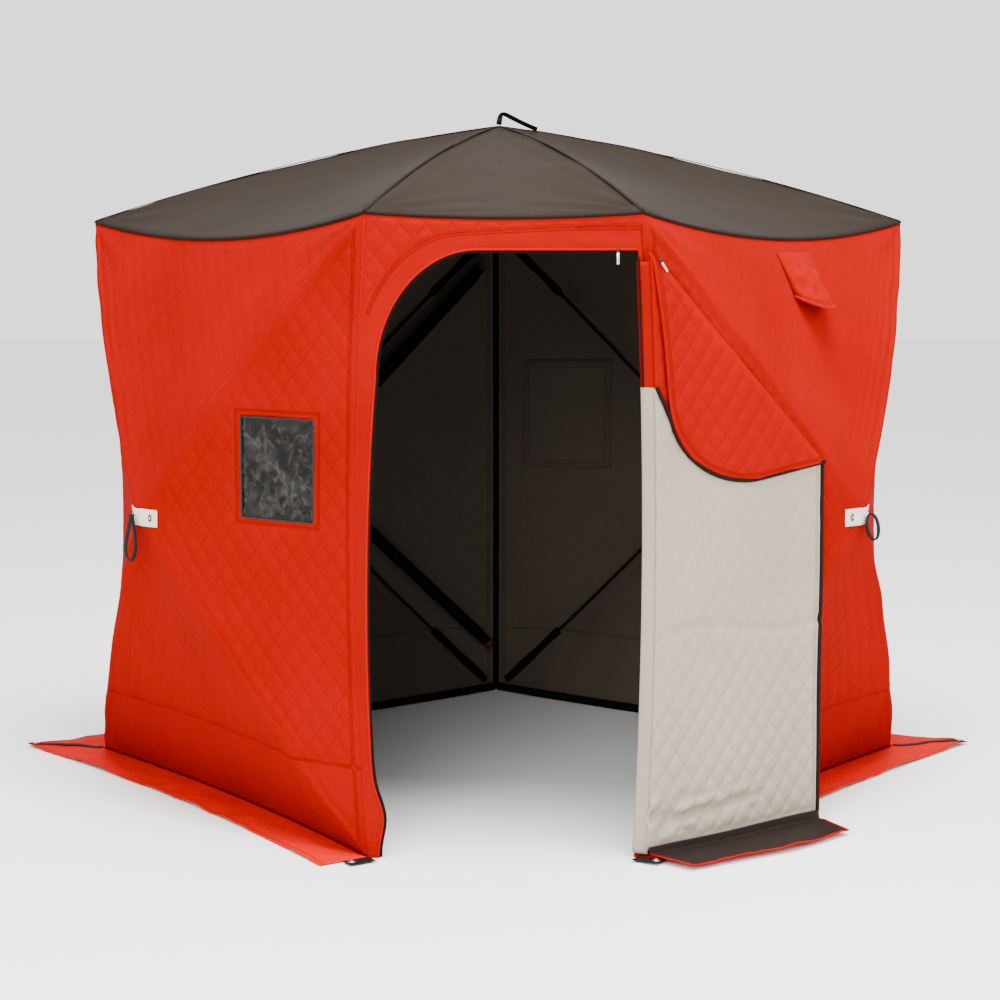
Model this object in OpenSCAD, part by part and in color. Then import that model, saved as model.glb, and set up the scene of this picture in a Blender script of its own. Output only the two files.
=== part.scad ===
// Ice fishing hut: a five-sided fabric shelter held up by rods and hubs.
// Millimetres, +Z up, resting on the ice at z = 0, door front facing -Y.

/* [Plan] */
// Width of the door front between its two corner seams
front_width = 732; // [600:10:900]
// Full width between the left and right corners
corner_span = 2602; // [2200:10:3000]
// Depth from the door front to the left and right corners
side_depth = 1377; // [1100:10:1600]
// Depth from the door front to the back corner
back_depth = 2394; // [2000:10:2800]
// Depth from the door front to the roof's top
apex_depth = 1291; // [1000:10:1500]

/* [Heights] */
// Height of the five roof corners
eave_height = 1726; // [1400:10:2000]
// Height of the roof fabric's top
roof_height = 2030; // [1700:10:2300]
// Height of the hub in the middle of each wall
hub_height = 867; // [600:5:1100]

/* [Tension] */
// How far each wall hub is popped out of its wall's plane
hub_out = 269; // [0:1:400]
// Outward bow of the wall rods
rod_bow = 26; // [0:1:60]
// Upward bow of the roof ribs
rib_bow = 32; // [0:1:80]
// Sag of the eaves between two corners
eave_sag = 62; // [0:1:120]
// Sag of the short eave over the door
front_sag = 14; // [0:1:40]
// Inward pull of the left, right and back corner seams
corner_pull = 74; // [0:1:120]
// Sideways pull of the two seams beside the door
front_pull = 35; // [0:1:60]
// Inward pull of the walls' bottom edges
base_pull = 38; // [0:1:80]

/* [Fabric] */
// Thickness of the quilted walls
wall_t = 8; // [4:0.5:20]
// Thickness of the roof
roof_t = 6; // [3:0.5:15]
// Thickness of the snow skirts
skirt_t = 3; // [2:0.5:6]
// Width of the snow skirts at the corners
skirt_w = 198; // [100:1:300]
// Width of the snow skirts at the middle of a wall
skirt_mid_w = 168; // [80:1:300]
// Width of the snow skirts where they end beside the door
skirt_end_w = 152; // [80:1:300]

/* [Door] */
// Height of the door opening
opening_top = 1632; // [1400:2:1690]
// Left edge of the opening, from the middle of the front
opening_left = 340; // [250:1:360]
// Right edge of the opening, from the middle of the front
opening_right = 352; // [250:1:360]
// Outward bow of the opening's left edge
opening_bow = 28; // [0:1:40]
// Width of the opening's rounded top corner
corner_w = 270; // [100:5:400]
// Clearance around the closed door
door_gap = 8; // [5:0.5:15]
// Distance of the door's hinge line in front of the fabric
hinge_out = 18; // [8:0.5:30]
// How far the closed door's free edge stops short of the opening
door_short = 26; // [6:1:60]
// How much higher the door's hem is at its free edge
hem_rise = 22; // [0:1:60]
// Direction of the open door, turned back from the front
door_open_at = 37; // [20:0.5:37]
// Height of the open door's lower hem
door_bottom = 34; // [20:1:80]
// Slope of the fold across the door's upper corner
fold_slope = 41.5; // [30:0.5:60]
// Thickness of the door
door_t = 8; // [4:0.5:16]
// Width of the snow skirt on the door
door_skirt_w = 172; // [80:1:220]

/* [Frame] */
// Diameter of the frame rods
rod_d = 11; // [8:0.5:16]
// Width of the sleeves over the rods' ends
sleeve_w = 32; // [20:1:50]
// Length of each sleeve as a share of its rod
sleeve_part = 0.24; // [0.1:0.01:0.4]
// Diameter of the wall hubs
hub_d = 76; // [50:1:120]
// Depth of the wall hubs
hub_t = 30; // [15:1:60]
// Diameter of the padded brace bars
brace_d = 42; // [20:1:60]

/* [Windows and vent] */
// Width of the window beside the door
window_w = 263; // [150:5:400]
// Height of the window beside the door
window_h = 278; // [150:5:400]
// Height of that window's middle above the ice
window_z = 1038; // [700:1:1300]
// Distance of that window's middle from its corner seam
window_at = 313; // [200:1:500]
// Width of the back window
back_window_w = 282; // [150:5:400]
// Height of the back window
back_window_h = 350; // [150:5:450]
// Height of the back window's middle
back_window_z = 1052; // [700:1:1300]
// Distance of the back window's middle from the back seam
back_window_at = 290; // [200:1:500]
// How far the vent hood stands out at its mouth
vent_out = 78; // [30:1:120]

/* [Hidden] */
in_front = 1254.9;            // the door front's distance before the middle of the part
rows = 5;                     // steps from a hub to an edge
cols = 8;                     // steps along an edge
fw = front_width / 2;
cs = corner_span / 2;
// corners in plan, clockwise from above: front-left, left, back, right, front-right
pFL = [-fw, -in_front];
pL = [-cs, side_depth - in_front];
pB = [0, back_depth - in_front];
pR = [cs, side_depth - in_front];
pFR = [fw, -in_front];
apex = [0, apex_depth - in_front, roof_height - roof_t - 0.5];

RED = [0.62, 0.12, 0.08];
DARKRED = [0.50, 0.09, 0.06];
ROOF = [0.22, 0.20, 0.19];
BLACK = [0.06, 0.06, 0.065];
LINING = [0.55, 0.52, 0.49];
CLEAR = [0.75, 0.80, 0.83, 0.5];
SILVER = [0.62, 0.63, 0.64];

// ---- vector helpers ----
function mix(a, b, t) = a * (1 - t) + b * t;
function hump(t) = 4 * t * (1 - t);
function up(p, z) = [p[0], p[1], z];
function flat(p) = [p[0], p[1]];
function unit(v) = v / norm(v);
// outward normal of the wall that runs from p to q, clockwise from above
function out(p, q) = let (d = unit(q - p)) [-d[1], d[0]];
// inward step that keeps one thickness on both walls of a corner
function mitre(n, m) = let (v = (n + m) / (1 + n * m)) [-v[0], -v[1], 0];

nF = [0, -1];
n1 = out(pFL, pL);
n2 = out(pL, pB);
n3 = out(pB, pR);
n4 = out(pR, pFR);
mFL = mitre(nF, n1);
mL = mitre(n1, n2);
mB = mitre(n2, n3);
mR = mitre(n3, n4);
mFR = mitre(n4, nF);
function hub_of(p, q) = up((p + q) / 2 + out(p, q) * hub_out, hub_height);
hub1 = hub_of(pFL, pL);
hub2 = hub_of(pL, pB);
hub3 = hub_of(pB, pR);
hub4 = hub_of(pR, pFR);

// ---- corner seams, eaves and bottom edges, t from 0 to 1 ----
function pull_of(c) =
  c == 0 ? unit(flat(hub1) - pFL) * front_pull :
  c == 1 ? [corner_pull, 0] :
  c == 2 ? [0, -corner_pull] :
  c == 3 ? [-corner_pull, 0] : unit(flat(hub4) - pFR) * front_pull;
function corner(c) = [pFL, pL, pB, pR, pFR][c];
function inward(c) = [mFL, mL, mB, mR, mFR][c];
// the seam at corner c at share t of its height
function seam(c, t) = let (p = corner(c) + pull_of(c) * hump(t) * (1.1 - 0.2 * t))
  up(p, eave_height * t);
// a point on the straight run between two eighths of a seam, as the panels are built
function seam_chord(c, t) = let (k = floor(t * 8), f = t * 8 - k)
  f == 0 ? seam(c, t) : mix(seam(c, k / 8), seam(c, (k + 1) / 8), f);
function eave(a, b, t, sag) = up(mix(corner(a), corner(b), t), eave_height - sag * hump(t));
function foot(a, b, t, n) = up(mix(corner(a), corner(b), t) - n * base_pull * hump(t), 0);

// ---- a fabric patch: a fan of rows from a middle point out to an edge ----
function fan(mid, edge, lift, bow, low) = concat([mid],
  [for (i = [1 : rows]) for (j = [0 : cols]) let (s = i / rows, t = j / cols)
    mix(mid, edge[j], s) + lift * bow * hump(s) * (1 - low * hump(t))]);
function fan_steps(mid_step, from, to) = concat([mid_step],
  [for (i = [1 : rows]) for (j = [0 : cols])
    mix(mid_step, mix(from, to, j / cols), i / rows)]);
function ix(i, j) = i == 0 ? 0 : 1 + (i - 1) * (cols + 1) + j;
K = 1 + rows * (cols + 1);
fan_top = concat([for (j = [0 : cols - 1]) [0, ix(1, j), ix(1, j + 1)]],
  [for (i = [1 : rows - 1]) for (j = [0 : cols - 1]) each
    [[ix(i, j), ix(i + 1, j), ix(i + 1, j + 1)],
     [ix(i, j), ix(i + 1, j + 1), ix(i, j + 1)]]]);
fan_faces = concat(fan_top, [for (f = fan_top) [f[2] + K, f[1] + K, f[0] + K]],
  [for (i = [0 : rows - 1]) let (a = ix(i, 0), b = ix(i + 1, 0)) each
    [[a, a + K, b + K], [a, b + K, b]]],
  [for (i = [0 : rows - 1]) let (a = ix(i, cols), b = ix(i + 1, cols)) each
    [[a, b, b + K], [a, b + K, a + K]]],
  [for (j = [0 : cols - 1]) let (p = ix(rows, j), q = ix(rows, j + 1)) each
    [[q, p, p + K], [q, p + K, q + K]]]);
// outer points, the step to the inner face, and how much of it to keep
module patch(outer, steps, from = 0, to = 1)
  polyhedron([for (k = [0 : K - 1]) outer[k] + steps[k] * from,
    for (k = [0 : K - 1]) outer[k] + steps[k] * to] , fan_faces, convexity = 6);

// ---- the four panels of a wall from corner a (left, seen outside) to corner b ----
function wall_n(w) = [n1, n2, n3, n4][w];
function wall_hub(w) = [hub1, hub2, hub3, hub4][w];
function n3d(w) = up(wall_n(w), 0);
// seen from outside, wall w runs from corner w + 1 on the left to corner w on the right
function edge_of(w, side) = let (n = wall_n(w), l = w + 1, r = w)
  [for (j = [0 : cols]) let (t = j / cols)
    side == 0 ? eave(l, r, t, eave_sag) :
    side == 1 ? seam(r, 1 - t) :
    side == 2 ? foot(r, l, t, n) : seam(l, t)];
function panel_out(w, side) = fan(wall_hub(w), edge_of(w, side), n3d(w), rod_bow,
  side == 2 ? 0.45 : 0.6);
function panel_in(w, side) = let (l = inward(w + 1) * wall_t, r = inward(w) * wall_t)
  fan_steps(-n3d(w) * wall_t, side == 0 ? l : side == 3 ? l : r,
    side == 0 ? r : side == 1 ? r : l);
module panel(w, side, from = 0, to = 1)
  patch(panel_out(w, side), panel_in(w, side), from, to);

// ---- roof panel between corners a and b ----
module roof(a, b, sag) {
  edge = [for (j = [0 : cols]) eave(a, b, j / cols, sag) + [0, 0, roof_t + 0.5]];
  top = up(apex, roof_height);
  patch(fan(top, edge, [0, 0, 1], rib_bow, 0.75), fan_steps([0, 0, -roof_t],
    [0, 0, -roof_t], [0, 0, -roof_t]));
}

// ---- door front: strips between an outer edge and the opening's edge ----
function strip_faces(n) = let (o = 0, i = n, p = 2 * n, q = 3 * n) concat(
  [for (k = [0 : n - 2]) each [[o + k, o + k + 1, i + k + 1], [o + k, i + k + 1, i + k]]],
  [for (k = [0 : n - 2]) each [[p + k, q + k + 1, p + k + 1], [p + k, q + k, q + k + 1]]],
  [for (k = [0 : n - 2]) each [[o + k, p + k + 1, o + k + 1], [o + k, p + k, p + k + 1]]],
  [for (k = [0 : n - 2]) each [[i + k, i + k + 1, q + k + 1], [i + k, q + k + 1, q + k]]],
  [[o, i, q], [o, q, p]],
  [[o + n - 1, q + n - 1, i + n - 1], [o + n - 1, p + n - 1, q + n - 1]]);
module strip(outer, steps, inner) polyhedron(concat(outer, inner, outer + steps,
  [for (p = inner) p + [0, wall_t, 0]]), strip_faces(len(outer)), convexity = 4);
function all_of(v, n) = [for (k = [1 : n]) v];
corner_z = eave_height * 0.75;        // where the rounded corner begins
corner_h = opening_top - corner_z;
function left_edge(z) = [-opening_left - opening_bow * hump(min(1, z / corner_z)),
  -in_front, z];
function arc_edge(a) = [-opening_left + corner_w * (1 - cos(a)), -in_front,
  corner_z + corner_h * sin(a)];

// ---- snow skirts, flat on the ice ----
function mitre_out(c) = let (v = -inward(c)) flat(v);
function skirt_in(w, t) = mix(corner(w), corner(w + 1), t) - wall_n(w) * (base_pull * hump(t) - 4);
function skirt_out(w, t, w0, w1) = mix(corner(w) + (w == 0 ? wall_n(0) : mitre_out(w)) * w0,
  corner(w + 1) + (w == 3 ? wall_n(3) : mitre_out(w + 1)) * w1, t)
  - wall_n(w) * (skirt_w - skirt_mid_w + base_pull) * 0.7 * hump(t);
module skirt(w, w0, w1) linear_extrude(skirt_t) difference() {
  polygon(concat([for (k = [0 : 8]) skirt_in(w, k / 8)],
    [for (k = [8 : -1 : 0]) skirt_out(w, k / 8, w0, w1)]));
  // a narrow gap along each mitre
  for (c = [w, w + 1]) if (c > 0 && c < 4) translate(corner(c))
    rotate(atan2(mitre_out(c)[1], mitre_out(c)[0])) translate([0, -0.25]) square([600, 0.5]);
}

// ---- swept round or flat bars ----
// a bar through points p with half sizes a (across) and b (along v)
module bar(p, v, a, b) {
  n = len(p);
  sides = 8;
  pts = [for (k = [0 : n - 1]) let (d = unit(p[min(k + 1, n - 1)] - p[max(k - 1, 0)]),
      x = unit(cross(d, v)), y = cross(x, d))
    for (m = [0 : sides - 1]) let (g = m * 360 / sides + 22.5)
      p[k] + x * a * cos(g) / cos(22.5) + y * b * sin(g) / cos(22.5)];
  polyhedron(pts, concat(
    [for (k = [0 : n - 2]) for (m = [0 : sides - 1]) let (q = (m + 1) % sides) each
      [[k * sides + m, (k + 1) * sides + m, (k + 1) * sides + q],
       [k * sides + m, (k + 1) * sides + q, k * sides + q]]],
    [[for (m = [0 : sides - 1]) m]],
    [[for (m = [sides - 1 : -1 : 0]) (n - 1) * sides + m]]), convexity = 4);
}
// middle line of the rod from the hub of wall w to a corner's top or bottom
function rod_at(w, c, high, s, r) = let (e = up(corner(c), high ? eave_height : 0),
    h = wall_hub(w), step = mix(-n3d(w), inward(c), s))
  mix(h, e, s) + n3d(w) * rod_bow * hump(s)
  + step * (wall_t + 6 + r + 9 * pow(1 - s, 8))
  + [0, 0, (high ? -1 : 1) * s * s * 6];
rod_from = 0.034;
rod_to = 1 - sleeve_part - 0.035;
sleeve_end = 0.955;
function roof_rod_at(c, s) = mix(up(apex, roof_height), up(corner(c), eave_height), s)
  + [0, 0, rib_bow * hump(s) - roof_t - 2 - rod_d / 2];

// ---- wall surface near a hub, by distance along the wall and height ----
function near_hub(w, a, z) = let (half = norm(corner(w + 1) - corner(w)) / 2,
    s = max(abs(a) / half, z > 0 ? z / (eave_height - hub_height) : -z / hub_height),
    t = 0.5 + 0.5 * min(1, abs(z) / max(1, abs(a)) * half / hub_height),
    d = [wall_n(w)[1], -wall_n(w)[0]])
  up(flat(wall_hub(w)) + d * a - wall_n(w) * (hub_out * s
    - rod_bow * hump(s) * 0.9), hub_height + z);
module hub_patch(w) {
  ring = [[98, 0], [98, 34], [34, 34], [-34, 34], [-98, 34], [-98, 0],
    [-98, -34], [-34, -34], [34, -34], [98, -34]];
  n = len(ring);
  function at(o) = concat([wall_hub(w) + n3d(w) * o],
    [for (r = ring) near_hub(w, r[0], r[1]) + n3d(w) * (o + 1.2)]);
  polyhedron(concat(at(2.6), at(0.8)), concat(
    [for (k = [0 : n - 1]) [0, 1 + (k + 1) % n, 1 + k]],
    [for (k = [0 : n - 1]) [n + 1, n + 2 + k, n + 2 + (k + 1) % n]],
    [for (k = [0 : n - 1]) let (a = 1 + k, b = 1 + (k + 1) % n) each
      [[a, b, b + n + 1], [a, b + n + 1, a + n + 1]]]), convexity = 4);
}
// a webbing loop: a hanging ring of strap, w wide, with its top at the origin
module strap_loop(drop, reach, w, t) translate([0, w / 2, 0]) rotate([90, 0, 0])
  linear_extrude(w) difference() {
    polygon([for (k = [0 : 23]) let (g = k * 15)
      [reach / 2 * (1 - cos(g)), drop / 2 * (sin(g) - 1)]]);
    polygon([for (k = [0 : 23]) let (g = k * 15)
      [t + (reach / 2 - t) * (1 - cos(g)), -t + (drop / 2 - t) * (sin(g) - 1)]]);
  }
// place things in wall w's frame: x out of the wall, y along it, origin at the hub
module at_hub(w) translate(wall_hub(w)) rotate(atan2(wall_n(w)[1], wall_n(w)[0])) children();

// ---- windows: a box through a wall's side panel beside corner c ----
module window_box(w, c, along, z, bw, bh, less = 0) {
  d = unit(flat(wall_hub(w)) - corner(c));
  translate(up(corner(c) + d * along, z)) rotate(atan2(d[1], d[0]))
    cube([bw - less, 320, bh - less], center = true);
}
module front_window(less = 0)
  window_box(0, 0, window_at, window_z, window_w, window_h, less);
module back_window(less = 0)
  window_box(2, 2, back_window_at, back_window_z, back_window_w, back_window_h, less);

// ---- vent hood on the right-front wall's upper panel ----
function upper_at(w, s, t) = mix(wall_hub(w), eave(w + 1, w, t, eave_sag), s)
  + n3d(w) * rod_bow * hump(s) * (1 - 0.6 * hump(t));
vent_s0 = 0.955;
vent_s1 = 0.795;
vent_t0 = 0.445;
vent_t1 = 0.59;
module vent_shell() {
  m = 5;
  n = 10;
  function at(i, j, o) = let (v = i / m, u = j / n,
      s = vent_s0 + (vent_s1 - vent_s0) * v, g = 1 - 0.12 * v)
    upper_at(3, s, 0.5 + (vent_t0 + (vent_t1 - vent_t0) * u - 0.5) * g)
    + n3d(3) * (1.5 + o + vent_out * v * sqrt(max(0, sin(180 * u))))
    + [0, 0, o * (0.3 - 0.2 * v)];
  N = (m + 1) * (n + 1);
  function q(i, j) = i * (n + 1) + j;
  top = [for (i = [0 : m - 1]) for (j = [0 : n - 1]) each
    [[q(i, j), q(i, j + 1), q(i + 1, j + 1)], [q(i, j), q(i + 1, j + 1), q(i + 1, j)]]];
  rim = concat([for (j = [0 : n - 1]) [q(0, j), q(0, j + 1)]],
    [for (i = [0 : m - 1]) [q(i, n), q(i + 1, n)]],
    [for (j = [n : -1 : 1]) [q(m, j), q(m, j - 1)]],
    [for (i = [m : -1 : 1]) [q(i, 0), q(i - 1, 0)]]);
  polyhedron(concat([for (i = [0 : m]) for (j = [0 : n]) at(i, j, 3)],
    [for (i = [0 : m]) for (j = [0 : n]) at(i, j, 0)]),
    concat(top, [for (f = top) [f[2] + N, f[1] + N, f[0] + N]],
    [for (e = rim) each [[e[1], e[0], e[0] + N], [e[1], e[0] + N, e[1] + N]]]),
    convexity = 6);
}

// ---- door, in its own frame: x from the hinge line, y towards the wall, z up ----
hinge = [opening_right + 6, -in_front - hinge_out];
door_w = hinge[0] + opening_left - door_short;
door_in = 12;                 // the door's sewn edge, measured from the hinge line
door_top = opening_top - door_gap;
fold_low = door_top - (door_w - door_in) * tan(fold_slope);
module door_place() translate(hinge) rotate(door_open_at) rotate([90, 0, 0]) children();
// the folded corner's outline before folding, x from the hinge line, y up
corner_outline = concat([[door_in, door_top]],
  [for (a = [90 : -10 : 0]) [door_w - (corner_w - door_gap) * (1 - cos(a)),
    corner_z + (corner_h - door_gap) * sin(a)]],
  [[door_w, fold_low]]);
function reflect(p) = let (d = [cos(fold_slope), -sin(fold_slope)],
    v = p - [door_in, door_top]) [door_in, door_top] + 2 * (v * d) * d - v;

// ==== parts ====
module left_front_wall_upper() color(RED) panel(0, 0);
module left_front_wall_lower() color(DARKRED) panel(0, 2);
module left_front_wall_door_side() color(RED) difference() {
  panel(0, 1);
  front_window();
}
module left_front_wall_corner_side() color(RED) panel(0, 3);
module left_back_wall_upper() color(RED) panel(1, 0);
module left_back_wall_lower() color(DARKRED) panel(1, 2);
module left_back_wall_front_side() color(RED) panel(1, 1);
module left_back_wall_back_side() color(RED) panel(1, 3);
module right_back_wall_upper() color(RED) panel(2, 0);
module right_back_wall_lower() color(DARKRED) panel(2, 2);
module right_back_wall_back_side() color(RED) difference() {
  panel(2, 1);
  back_window();
}
module right_back_wall_front_side() color(RED) panel(2, 3);
module right_front_wall_upper() color(RED) difference() {
  panel(3, 0);
  // the air outlet under the vent hood
  translate(upper_at(3, 0.885, 0.517)) rotate(atan2(n4[1], n4[0]))
    cube([120, 120, 80], center = true);
}
module right_front_wall_lower() color(DARKRED) panel(3, 2);
module right_front_wall_corner_side() color(RED) panel(3, 1);
module right_front_wall_door_side() color(RED) panel(3, 3);

module roof_front() color(ROOF) roof(4, 0, front_sag);
module roof_left_front() color(ROOF) roof(0, 1, eave_sag);
module roof_left_back() color(ROOF) roof(1, 2, eave_sag);
module roof_right_back() color(ROOF) roof(2, 3, eave_sag);
module roof_right_front() color(ROOF) roof(3, 4, eave_sag);

module front_jamb_left() color(RED) {
  z = [for (k = [0 : 6]) k / 8];
  strip([for (t = z) seam(0, t)], all_of(mFL * wall_t, 7),
    [for (t = z) left_edge(t * eave_height)]);
}
module front_header() color(RED) {
  n = 8;
  outer = concat([for (t = [0.75, 0.79, 0.83, 0.875, 0.92, 0.96]) seam_chord(0, t)],
    [for (k = [0 : n]) eave(0, 4, k / n, front_sag)], [seam(4, 0.875)]);
  steps = concat(all_of(mFL * wall_t, 6),
    [for (k = [0 : n]) mix(mFL, mFR, k / n) * wall_t], [mFR * wall_t]);
  x0 = -opening_left + corner_w;
  inner = concat([for (a = [0 : 10 : 90]) arc_edge(a)],
    [for (k = [1 : 5]) [x0 + (opening_right - x0) * k / 5, -in_front, opening_top]],
    [[opening_right, -in_front, eave_height * 0.875]]);
  strip(outer, steps, inner);
}
module front_jamb_right() color(RED) {
  z = [for (k = [7 : -1 : 0]) k / 8];
  strip([for (t = z) seam(4, t)], all_of(mFR * wall_t, 8),
    [for (t = z) [opening_right, -in_front, t * eave_height]]);
}

module left_front_skirt() color(DARKRED) skirt(0, skirt_end_w, skirt_w);
module left_back_skirt() color(DARKRED) skirt(1, skirt_w, skirt_w);
module right_back_skirt() color(DARKRED) skirt(2, skirt_w, skirt_w);
module right_front_skirt() color(DARKRED) skirt(3, skirt_w, skirt_end_w);

module wall_rods() color(BLACK) for (w = [0 : 3]) for (c = [w, w + 1])
  for (high = [false, true])
    bar([for (k = [0 : 5]) rod_at(w, c, high, rod_from + (rod_to - rod_from) * k / 5,
      rod_d / 2)], n3d(w), rod_d / 2, rod_d / 2);
module rod_end_sleeves() color(BLACK) for (w = [0 : 3]) for (c = [w, w + 1])
  for (high = [false, true])
    bar([for (k = [0 : 2]) rod_at(w, c, high, rod_to + 0.001
      + (sleeve_end - rod_to) * k / 2, rod_d / 2)], n3d(w), sleeve_w / 2, rod_d / 2 + 0.6);
module wall_hubs() color(BLACK) for (w = [0 : 3]) at_hub(w)
  translate([-wall_t - 15 - hub_t, 0, 0]) rotate([0, 90, 0]) {
    cylinder(h = hub_t - 4, d = hub_d, $fn = 24);
    cylinder(h = hub_t, d = hub_d * 0.55, $fn = 24);
  }
module roof_rods() color(BLACK) for (c = [0 : 4])
  bar([for (k = [0 : 5]) roof_rod_at(c, 0.04 + 0.885 * k / 5)], [0, 0, 1],
    rod_d / 2, rod_d / 2);
module roof_hub() color(BLACK) translate(up(apex, roof_height - roof_t - 58)) {
  cylinder(h = 34, d = 80, $fn = 24);
  cylinder(h = 40, d = 44, $fn = 24);
}
module hub_patches() color(SILVER) for (w = [0 : 3]) hub_patch(w);
module pull_straps() color(BLACK) for (w = [0 : 3]) at_hub(w)
  translate([2.8, 0, 4]) strap_loop(142, 46, 25, 2.5);
// the roof's carrying strap: an arch of webbing from the top down its right side
function arch(t) = [122 * t - 16 * hump(t) * (1 - t), 54 * pow(1 - t, 1.2)
  * (1 - exp(-11 * t)) - 14 * t];
function arch_side(t) = let (d = unit(arch(min(1, t + 0.01)) - arch(max(0, t - 0.01))))
  [-d[1], d[0]] * 1.25;
module roof_strap() color(BLACK) translate(up(apex, roof_height + 1.6))
  translate([0, 12.5, 0]) rotate([90, 0, 0]) linear_extrude(25)
    polygon(concat([for (k = [0 : 20]) arch(k / 20) + arch_side(k / 20)],
      [for (k = [20 : -1 : 0]) arch(k / 20) - arch_side(k / 20)]));
// two padded bars from the left-back hub towards the back corner's top and bottom
brace_knee = [-705, 2050 - in_front, 876];
brace_top = [-44, 2290 - in_front, 1590];
brace_low = [-19, 2300 - in_front, 186];
module rod_between(p, q, d, cut0 = 0, cut1 = 0) {
  v = unit(q - p);
  translate(p + v * cut0) rotate([0, acos(v[2]), atan2(v[1], v[0])])
    cylinder(h = norm(q - p) - cut0 - cut1, d = d, $fn = 24);
}
module brace_bars() color(BLACK) for (e = [brace_top, brace_low])
  rod_between(brace_knee, e, brace_d, 28, 22);
module brace_caps() color([0.5, 0.05, 0.04]) for (e = [brace_top, brace_low]) {
  rod_between(brace_knee, e, brace_d - 3, norm(e - brace_knee) - 21.8, 0);
}
module brace_link() color(BLACK)
  rod_between(hub2 - n3d(1) * (wall_t + 19 + hub_t), brace_knee, 12, 0, 16);

module tab_at(p, ang, len, w) translate(up(p, skirt_t)) rotate(ang)
  translate([0, -w / 2, 0]) linear_extrude(2) difference() {
    square([len, w]);
    translate([len - 18, w / 2]) circle(d = 12, $fn = 24);
  }
tabs = [[0, 8, 82, 46], [1, 14, 246, 26], [2, 14, 236, 26], [3, 14, 246, 26], [4, 8, 82, 46]];
function tab_dir(c) = c == 0 ? n1 : c == 4 ? n4 : unit(mitre_out(c));
function tab_foot(c) = corner(c) + tab_dir(c) * (c == 0 || c == 4 ? 6 : 10)
  + (c == 0 ? [n1[1], -n1[0]] * -30 : c == 4 ? [n4[1], -n4[0]] * 30 : [0, 0]);
module anchor_tabs() color(BLACK) for (t = tabs)
  tab_at(tab_foot(t[0]), atan2(tab_dir(t[0])[1], tab_dir(t[0])[0]), t[2], t[3]);
module tab_grommets() color(SILVER) for (t = tabs)
  translate(up(tab_foot(t[0]) + tab_dir(t[0]) * (t[2] - 18), skirt_t + 2))
    linear_extrude(1.2) difference() {
      circle(d = 22, $fn = 24);
      circle(d = 12, $fn = 24);
    }

module window_panes() color(CLEAR) {
  intersection() {
    panel(0, 1, 0.35, 0.62);
    front_window(0.4);
  }
  intersection() {
    panel(2, 1, 0.35, 0.62);
    back_window(0.4);
  }
}
module back_window_cover() color(BLACK) intersection() {
  panel(2, 1, 1.06, 1.6);
  back_window(-40);
}
module vent_hood() color(DARKRED) vent_shell();

module header_zip_pull() color(SILVER) translate([300, -in_front - 2.5, 1615])
  cube([7, 3, 34], center = true);
module door_panel() color(LINING) door_place() translate([0, 0, hinge_out])
  linear_extrude(door_t) polygon([[door_in, door_bottom], [door_in, door_top - 1],
    [door_w, fold_low], [door_w, door_bottom + hem_rise]]);
module door_corner_fold() color(RED) door_place() translate([0, 0, hinge_out + door_t])
  linear_extrude(6) polygon([for (p = corner_outline) reflect(p)]);
module door_skirt() color(DARKRED) door_place() {
  translate([0, 0, hinge_out]) linear_extrude(door_t) polygon([[door_in + 2, 12],
    [door_in + 2, door_bottom], [door_w, door_bottom + hem_rise], [door_w, 12]]);
  translate([0, 15, hinge_out + door_t]) rotate([90, 0, 0]) linear_extrude(3)
    polygon([[door_in + 4, 0], [36, door_skirt_w * 0.86], [door_w * 0.6, door_skirt_w],
      [door_w - 34, door_skirt_w * 0.8], [door_w, 0]]);
}
module door_zip_sliders() color(BLACK) door_place() translate([0, 0, hinge_out + door_t])
  for (z = [door_top - 34, door_top - 80]) translate([28, z, 8.2]) cube([9, 26, 4], center = true);

left_front_wall_upper();
left_front_wall_lower();
left_front_wall_door_side();
left_front_wall_corner_side();
left_back_wall_upper();
left_back_wall_lower();
left_back_wall_front_side();
left_back_wall_back_side();
right_back_wall_upper();
right_back_wall_lower();
right_back_wall_back_side();
right_back_wall_front_side();
right_front_wall_upper();
right_front_wall_lower();
right_front_wall_corner_side();
right_front_wall_door_side();
roof_front();
roof_left_front();
roof_left_back();
roof_right_back();
roof_right_front();
front_header();
front_jamb_left();
front_jamb_right();
left_front_skirt();
left_back_skirt();
right_back_skirt();
right_front_skirt();
wall_rods();
rod_end_sleeves();
wall_hubs();
roof_rods();
roof_hub();
hub_patches();
pull_straps();
roof_strap();
brace_bars();
brace_caps();
brace_link();
anchor_tabs();
tab_grommets();
window_panes();
back_window_cover();
vent_hood();
header_zip_pull();
door_panel();
door_corner_fold();
door_skirt();
door_zip_sliders();
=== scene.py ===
# %% [markdown]
# An ice fishing hut of the pop-up kind is five corners of quilted cloth pulled tight by rods
# that meet in a hub in the middle of each wall. This lesson dresses the plain solids of its
# CAD model: cloth becomes thin stretched sheets, rods become round tubes, and every finish is
# built from nodes. Everything is in metres, in the CAD model's own frame, so nothing is fitted
# by eye afterwards.

import math

import bmesh
import bpy
from mathutils import Matrix, Vector, noise


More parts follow.
